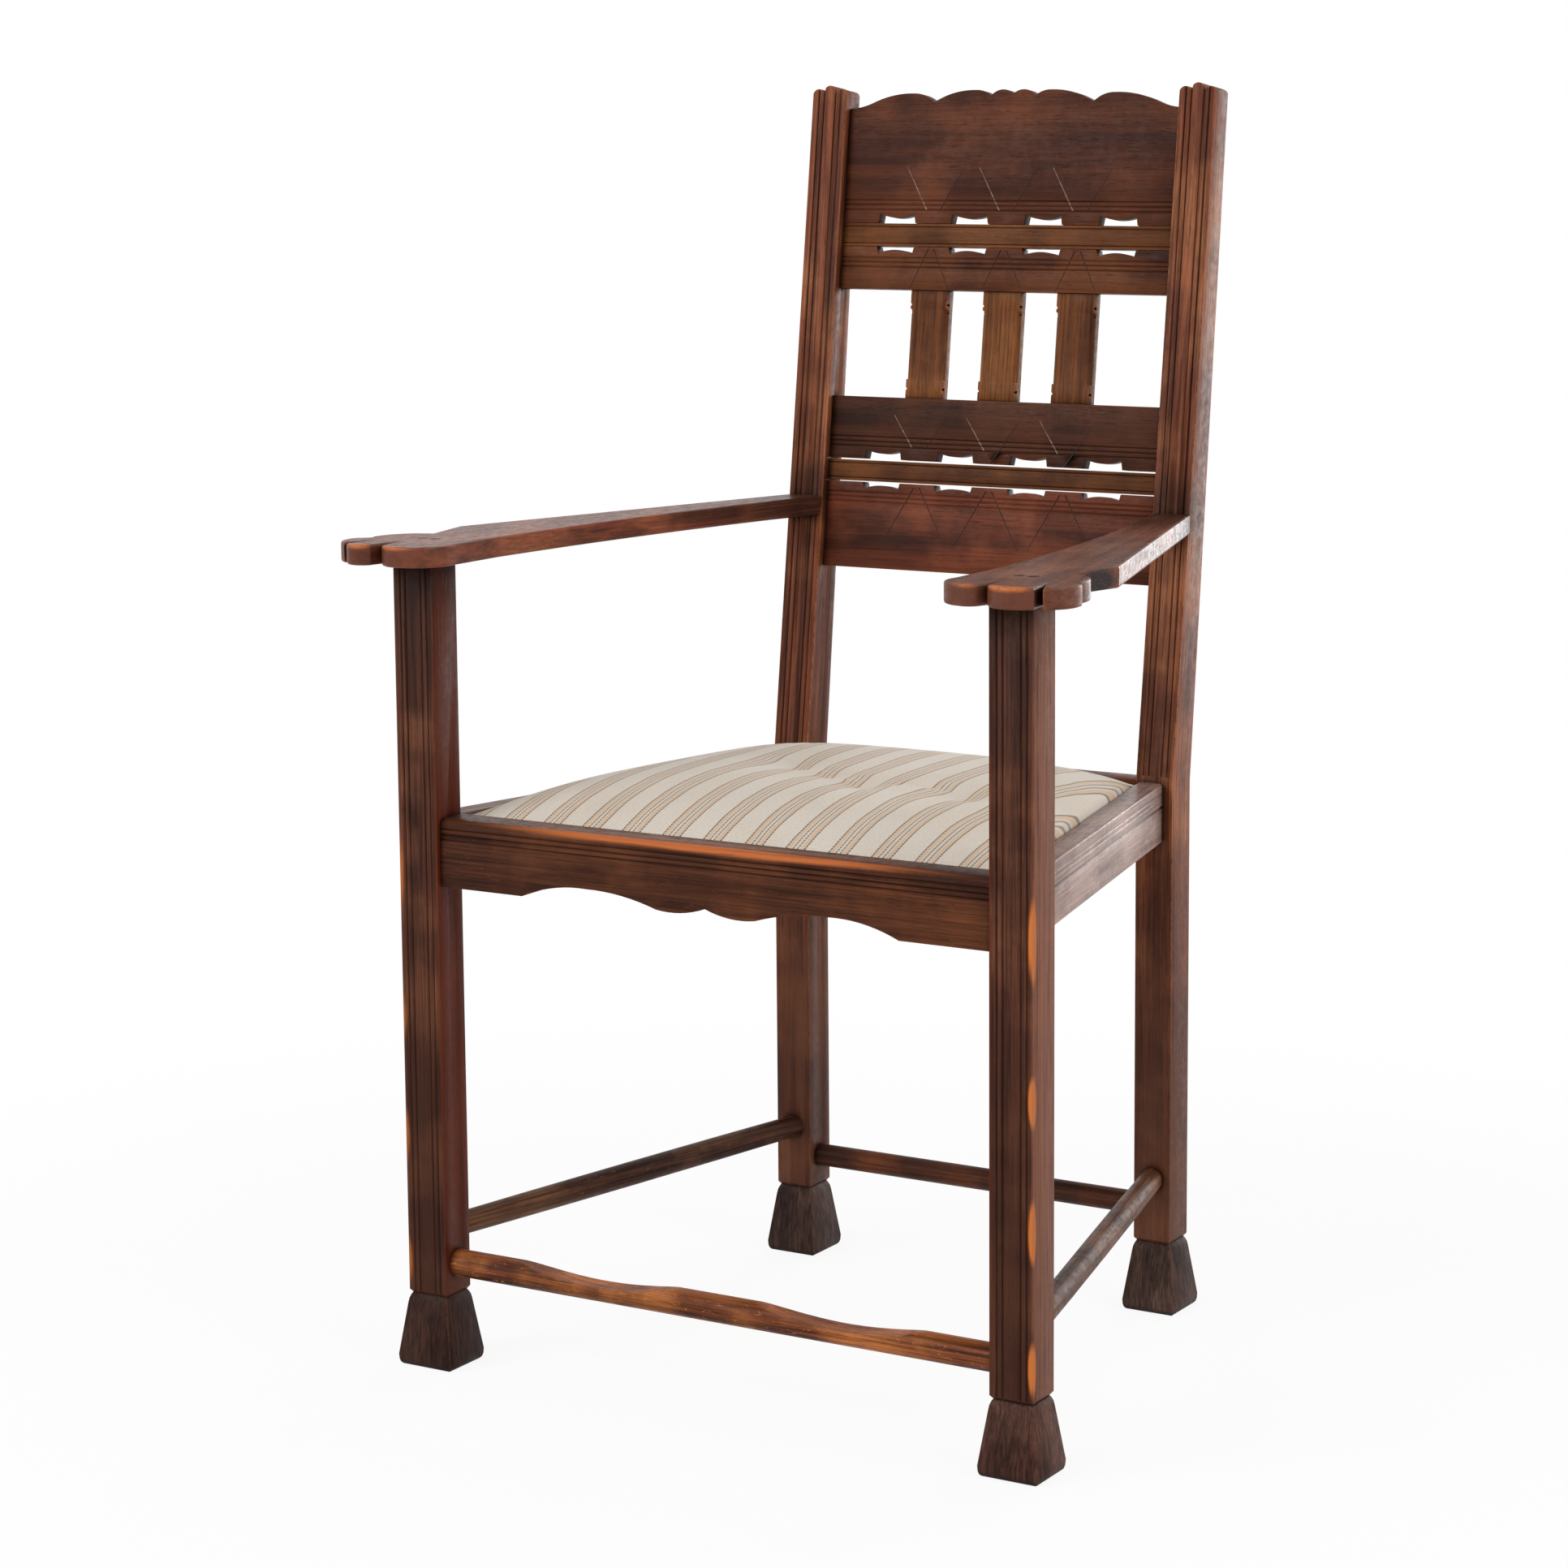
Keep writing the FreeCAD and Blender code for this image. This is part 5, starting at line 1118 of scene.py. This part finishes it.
@dataclass(frozen=True)
class Stretchers(Assembly):
    """Round rails between the legs, worn hollow in front by feet.

    A rub has its middle and half length in millimetres, and its strength.
    """

    line: float = -231
    upper_side: float = 98
    fleck_size: float = 2.2 * MM
    rubs: tuple[Point, ...] = ((-125, 75, 0.6), (105, 120, 0.95), (215, 60, 0.8), (0, 60, 0.5))

    def build(self, bench: Bench) -> None:
        """Finish the four stretchers.

        Args:
            bench: The work in hand.
        """
        marks = tuple(Mark((x, self.line, self.upper_side), (half, 12, 8), "#a9602f", strength)
                      for x, half, strength in self.rubs)
        front = StainedOak("stained oak, front stretcher", Grain.CROSSWISE, 51, dark="#432214",
                           middle="#81462a", light="#c2763f", streak=0.75, fleck=0.85,
                           fleck_size=self.fleck_size, wear=0.5, marks=marks)
        bench.wooden("front_stretcher", front, 0.0)
        rear = StainedOak("stained oak, rear stretcher", Grain.CROSSWISE, 52, dark="#2b160e",
                          middle="#46281c", wear=0.3)
        bench.wooden("rear_stretcher", rear, 0.0)
        for side, hand, grain in SIDES:
            finish = StainedOak(f"stained oak, side stretcher {hand}", grain, 54 + side, dark="#2d1710",
                                middle="#4c2e20", light="#7a543c", streak=0.7, fleck=0.5,
                                fleck_size=self.fleck_size, wear=0.3)
            bench.wooden(f"side_stretcher_{hand}", finish, 0.0)


@dataclass(frozen=True)
class Underside(Assembly):
    """Corner blocks, screws and dowels that hold the frame together from within."""

    ease: float = 1.0 * MM

    def build(self, bench: Bench) -> None:
        """Finish the blocks and give the small fastenings their materials.

        Args:
            bench: The work in hand.
        """
        corners = product(("front", "rear"), ("left", "right"))
        for seed, (end, hand) in enumerate(corners, start=61):
            block = PaleSoftwood(f"sawn pine, {end} block {hand}", Grain.CROSSWISE, seed)
            bench.wooden(f"{end}_corner_block_{hand}", block, self.ease, slot="pine")
        steel = ScrewSteel().make()
        peg = PaleSoftwood("turned dowel", Grain.UPRIGHT, 70, pale="#b98d5c").make()
        for node, material in (("arm_screws", steel), ("corner_block_screws", steel), ("arm_dowels", peg),
                               ("foot_dowels", peg), ("seat_frame_dowels", peg)):
            bench.shown_plain(node, material)


@dataclass(frozen=True)
class LooseSeat(Assembly):
    """Drop-in seat: pine frame, jute webbing woven over it, hessian, and a striped padded top.

    Tufts and the straps' middles are in millimetres. The crown's powers shape its fall to the front
    and rear, then to the sides: how flat it starts, and how steep it ends.
    """

    front: float = -212.173 * MM
    rear: float = 188.427 * MM
    front_half: float = 256.24 * MM
    rear_half: float = 167.13 * MM
    bar_ease: float = 1.2 * MM
    base: float = 465.2 * MM
    edge: float = 1.06 * MM
    crown: float = 31.83 * MM
    crown_place: float = 0.571
    crown_powers: Colour = (3.94, 1.063, 3.18, 0.346)
    crease: float = 3.4 * MM
    crease_half: float = 9 * MM
    crease_bow: float = 0.16
    tuft_depth: float = 7.5 * MM
    tuft_reach: float = 19 * MM
    tuft_power: float = 1.3
    gather: float = 0.5
    gather_reach: float = 1.6
    swell: float = 2.5 * MM
    swell_steps: int = 12
    held_rim: float = 0.012
    held_side: float = 0.985
    grid: tuple[int, int] = (110, 96)
    grid_crowding: float = 1.35
    tufts: tuple[Span, ...] = ((-50, -12), (-8, -34), (40, -60), (135, -60))
    strap_long: tuple[float, ...] = (-117.1, -39.0, 39.0, 117.1)
    strap_cross: tuple[float, ...] = (-182.2, -68.6, 44.9, 158.4)
    strap_thick: float = 1.6 * MM
    strap_low: float = 461.0 * MM
    strap_cuts: int = 31
    strap_step: float = 8 * MM

    def depth_share(self, y: float) -> float:
        """Find how far back a place is, from 0 at the front edge to 1 at the rear."""
        return (y - self.front) / (self.rear - self.front)

    def half_width(self, y: float) -> float:
        """Find half the seat's width at a place from front to back."""
        return self.front_half + (self.rear_half - self.front_half) * self.depth_share(y)

    def sunk(self, x: float, y: float) -> float:
        """Find how far the quilting threads pull the cloth down at a place.

        Args:
            x: Across.
            y: From front to back.

        Returns:
            The depth.
        """
        depth = 0.0
        points = [Vector((a * MM, b * MM)) for a, b in self.tufts]
        here = Vector((x, y))
        for start, end in zip(points, points[1:]):
            run = end - start
            share = min(max((here - start).dot(run) / run.length_squared, 0.0), 1.0)
            bow = Vector((-run.y, run.x)) * self.crease_bow * math.sin(math.pi * share)
            away = (here - start - run * share - bow).length
            depth = max(depth, self.crease * math.exp(-(away / self.crease_half) ** 2))
        for point in points:
            away = (here - point).length
            depth = max(depth, self.tuft_depth * math.exp(-(away / self.tuft_reach) ** self.tuft_power))
        return depth

    def surface(self, x: float, y: float) -> float:
        """Find the cushion's height above its base at a place on its plan.

        Args:
            x: Across.
            y: From front to back.

        Returns:
            The height.
        """
        share, peak = self.depth_share(y), self.crown_place
        side = min(abs(x) / self.half_width(y), 1.0)
        run = (peak - share) / peak if share < peak else (share - peak) / (1 - peak)
        along_flat, along_steep, across_flat, across_steep = self.crown_powers
        along = max(1 - min(run, 1.0) ** along_flat, 0.0) ** along_steep
        across = max(1 - side ** across_flat, 0.0) ** across_steep
        return self.edge + self.crown * along * across

    def shaped_pad(self) -> Thing:
        """Shape the closed pad: a grid drawn to the seat's plan, raised to its crown.

        Returns:
            The pad.
        """
        bpy.ops.mesh.primitive_grid_add(x_subdivisions=self.grid[0], y_subdivisions=self.grid[1], size=2)
        pad = newest()
        pad.name = "striped_cushion"
        with editing(pad):
            bpy.ops.mesh.extrude_region_move(TRANSFORM_OT_translate={"value": (0, 0, 1)})
        for vertex in pad.data.vertices:
            u, v, upper = vertex.co.x, (vertex.co.y + 1) / 2, vertex.co.z > 0.5
            u = math.copysign(1 - (1 - abs(u)) ** self.grid_crowding, u)
            v = 0.5 + math.copysign(0.5 - 0.5 * (1 - abs(2 * v - 1)) ** self.grid_crowding, v - 0.5)
            y = self.front + (self.rear - self.front) * v
            x = u * self.half_width(y)
            height = self.surface(x, y) - self.sunk(x, y) if upper else 0.0
            vertex.co = (x, y, self.base + max(height, 0.0))
        with editing(pad):
            bpy.ops.mesh.normals_make_consistent(inside=False)
        return pad

    def held(self, point: Vector) -> bool:
        """Tell whether a point of the pad stays where it is while the rest swells.

        Args:
            point: The point.

        Returns:
            Whether it lies on the base or the rim, or is pulled by a thread.
        """
        back = self.depth_share(point.y)
        rim = min(back, 1 - back) < self.held_rim
        side = abs(point.x) > self.half_width(point.y) * self.held_side
        pulled = self.sunk(point.x, point.y) > self.crease * 0.9
        return point.z <= self.base + 0.01 * MM or rim or side or pulled

    def stuffed(self, pad: Thing) -> None:
        """Swell the cloth between its seams and tufts with a short simulation.

        Args:
            pad: The shaped pad.
        """
        still = [vertex.co.copy() for vertex in pad.data.vertices]
        pins = pad.vertex_groups.new(name="held")
        for index, point in enumerate(still):
            pins.add([index], 1.0 if self.held(point) else 0.0, "REPLACE")
        select_only(pad)
        modifier = pad.modifiers.new("Stuffing", "CLOTH")
        cloth = {"quality": 5, "mass": 0.3, "tension_stiffness": 25, "compression_stiffness": 25,
                 "bending_stiffness": 1.5, "use_pressure": True, "uniform_pressure_force": 4.0,
                 "vertex_group_mass": "held"}
        for name, value in cloth.items():
            setattr(modifier.settings, name, value)
        modifier.settings.effector_weights.gravity = 0.0
        modifier.collision_settings.use_collision = False
        scene = bpy.context.scene
        for step in range(1, self.swell_steps + 1):
            scene.frame_set(step)
        bpy.ops.object.modifier_apply(modifier=modifier.name)
        scene.frame_set(1)
        for vertex, start in zip(pad.data.vertices, still):
            move = vertex.co - start
            if move.length > self.swell:
                vertex.co = start + move.normalized() * self.swell

    def map_cloth(self, pad: Thing) -> None:
        """Lay the flat cloth's map over the pad, gathered towards the tufts.

        Args:
            pad: The pad.
        """
        reach = self.gather_reach * self.tuft_reach
        layer = pad.data.uv_layers.new(name="cloth")
        for loop in pad.data.loops:
            x, y, _ = pad.data.vertices[loop.vertex_index].co
            flat_x, flat_y = x, y
            for tuft_x, tuft_y in self.tufts:
                off_x, off_y = x - tuft_x * MM, y - tuft_y * MM
                pull = self.gather * math.exp(-(math.hypot(off_x, off_y) / reach) ** 2)
                flat_x += off_x * pull
                flat_y += off_y * pull
            layer.data[loop.index].uv = (flat_x, flat_y)

    def cushion(self, bench: Bench) -> None:
        """Make the striped cushion.

        Args:
            bench: The work in hand.
        """
        pad = self.shaped_pad()
        self.stuffed(pad)
        self.map_cloth(pad)
        dress(pad, StripedCloth().make())
        apply_modifier(pad, "SUBSURF", levels=1, render_levels=1)
        shade_round(pad, 50)
        bench.settle(pad, "loose_seat", "seat_cloth", "seat_cushion")

    def webbing(self, bench: Bench, node: str, along: int, crossings: tuple[float, ...],
                lines: tuple[float, ...], first: int) -> None:
        """Weave one set of straps over and under the other.

        Args:
            bench: The work in hand.
            node: The straps' sub-part.
            along: The axis that the straps run along, 0 or 1.
            crossings: The middles of the straps that cross them, in millimetres.
            lines: Their own middles, in millimetres.
            first: 1 where the first strap starts above, or -1.
        """
        straps = bench.traced(node)
        dress(straps, JuteWeave(f"jute webbing, {node[5:]}", "#bfa27a", "#7c623f", 1.9 * MM).make())
        normal = Vector((1.0, 0.0, 0.0)) if along == 0 else Vector((0.0, 1.0, 0.0))
        with editing(straps):
            for step in range(-self.strap_cuts, self.strap_cuts + 1):
                bpy.ops.mesh.select_all(action="SELECT")
                bpy.ops.mesh.bisect(plane_co=normal * step * self.strap_step, plane_no=normal)
        middle = self.strap_low + self.strap_thick
        own = middle + self.strap_thick * (-0.5 if node.endswith("long") else 0.5)
        pitch = (crossings[-1] - crossings[0]) / (len(crossings) - 1) * MM
        for vertex in straps.data.vertices:
            strap = min(range(len(lines)), key=lambda index: abs(vertex.co[1 - along] - lines[index] * MM))
            phase = math.pi * (vertex.co[along] - crossings[0] * MM) / pitch
            wave = math.copysign(abs(math.cos(phase)) ** 0.5, math.cos(phase)) * first * (-1) ** strap
            vertex.co.z += middle - own + wave * self.strap_thick * 0.5
        shade_round(straps, 35)
        bench.settle(straps, "loose_seat", "webbing", node)

    def hessian(self, bench: Bench) -> None:
        """Stretch the hessian over the webbing.

        Args:
            bench: The work in hand.
        """
        cloth = bench.traced("seat_hessian")
        dress(cloth, JuteWeave("hessian", "#c6ab80", "#86683f", 1.3 * MM).make())
        bench.settle(cloth, "loose_seat", "hessian", "seat_hessian")

    def build(self, bench: Bench) -> None:
        """Make the loose seat from its frame up.

        Args:
            bench: The work in hand.
        """
        bars = (("front", Grain.CROSSWISE), ("rear", Grain.CROSSWISE), ("side_left", Grain.CLOSING_LEFT),
                ("side_right", Grain.CLOSING_RIGHT))
        for seed, (bar, grain) in enumerate(bars, start=71):
            pine = PaleSoftwood(f"sawn pine, frame_{bar}", grain, seed)
            bench.wooden(f"seat_frame_{bar}", pine, self.bar_ease, "loose_seat", "pine")
        self.webbing(bench, "seat_webbing_long", 1, self.strap_cross, self.strap_long, 1)
        self.webbing(bench, "seat_webbing_cross", 0, self.strap_long, self.strap_cross, -1)
        self.hessian(bench)
        self.cushion(bench)


@dataclass(frozen=True)
class SoftBox:
    """A rectangular lamp: its place, its width and height, and its light in watts."""

    name: str
    place: Point
    size: Span
    power: float

    def hang(self, target: Point) -> None:
        """Hang the lamp so that it faces a target.

        Args:
            target: What it faces.
        """
        light = bpy.data.lights.new(self.name, "AREA")
        light.shape = "RECTANGLE"
        light.size, light.size_y = self.size
        light.energy = self.power
        lamp = bpy.data.objects.new(self.name, light)
        lamp.location = self.place
        lamp.rotation_euler = (Vector(target) - Vector(self.place)).to_track_quat("-Z", "Y").to_euler()
        bpy.context.scene.collection.objects.link(lamp)


@dataclass(frozen=True)
class Studio:
    """White backdrop and floor, soft lamps, and the camera of the photograph."""

    lens: float = 90.88
    film: float = 36.0
    azimuth: float = 31.33
    elevation: float = 8.59
    roll: float = -0.48
    place: Point = (1.65209, -2.834035, 1.05856)
    shift_down: float = 0.060
    sight: float = 60.0
    fill_light: float = 0.55
    floor_half: float = 12.0
    floor_drop: float = 0.2 * MM
    target: Point = (0.0, 0.0, 0.55)
    lamps: tuple[SoftBox, ...] = (SoftBox("front box", (-1.6, -3.2, 2.4), (2.4, 2.0), 75.0),
                                  SoftBox("right box", (3.4, -0.6, 1.9), (2.0, 2.0), 45.0),
                                  SoftBox("rear box", (0.5, 3.7, 1.05), (3.2, 1.9), 68.0))

    def camera(self) -> None:
        """Set the camera where the photographer stood."""
        turn, lift, roll = (math.radians(a) for a in (self.azimuth, self.elevation, self.roll))
        back = Vector((math.sin(turn) * math.cos(lift), -math.cos(turn) * math.cos(lift), math.sin(lift)))
        right = Vector((math.cos(turn), math.sin(turn), 0.0))
        up = back.cross(right)
        across = right * math.cos(roll) + up * math.sin(roll)
        above = up * math.cos(roll) - right * math.sin(roll)
        lens = bpy.data.cameras.new("camera")
        lens.lens = self.lens
        lens.sensor_width = self.film
        lens.shift_y = -self.shift_down
        lens.clip_end = self.sight
        camera = bpy.data.objects.new("camera", lens)
        axes = Matrix((across, above, back)).transposed().to_4x4()
        camera.matrix_world = Matrix.Translation(self.place) @ axes
        bpy.context.scene.collection.objects.link(camera)
        bpy.context.scene.camera = camera

    def backdrop(self) -> None:
        """Make the world white to the eye and a soft fill to the chair."""
        world = bpy.data.worlds.new("studio")
        bpy.context.scene.world = world
        world.use_nodes = True
        recipe = Recipe(world.node_tree)
        strength = recipe.add("MapRange", {}, {0: seen_directly(recipe), 1: 0.0, 2: 1.0,
                                               3: self.fill_light, 4: 1.0})
        sky = recipe.add("Background", {}, {"Color": (1.0, 1.0, 1.0, 1.0), "Strength": strength})
        recipe.add("OutputWorld", {}, {0: sky})

    def floor(self) -> None:
        """Lay the floor a hair below the feet."""
        bpy.ops.mesh.primitive_plane_add(size=2 * self.floor_half, location=(0, 0, -self.floor_drop))
        floor = newest()
        floor.name = "studio_floor"
        dress(floor, WhitePaper().make())

    def build(self) -> None:
        """Set up world, floor, lamps and camera."""
        self.backdrop()
        self.floor()
        for lamp in self.lamps:
            lamp.hang(self.target)
        self.camera()


def main() -> None:
    """Build the armchair's looks and its studio."""
    logging.basicConfig(level=logging.INFO, format="%(name)s: %(message)s")
    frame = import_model()
    bpy.ops.object.select_all(action="DESELECT")
    bpy.context.scene.view_settings.view_transform = "Standard"
    Studio().build()
    bench = Bench(frame)
    for assembly in (Uprights(), Back(), SeatRails(), Arms(), Stretchers(), Underside(), LooseSeat()):
        assembly.build(bench)
        LOG.info("%s: done", type(assembly).__name__)


if __name__ == "__main__":
    main()
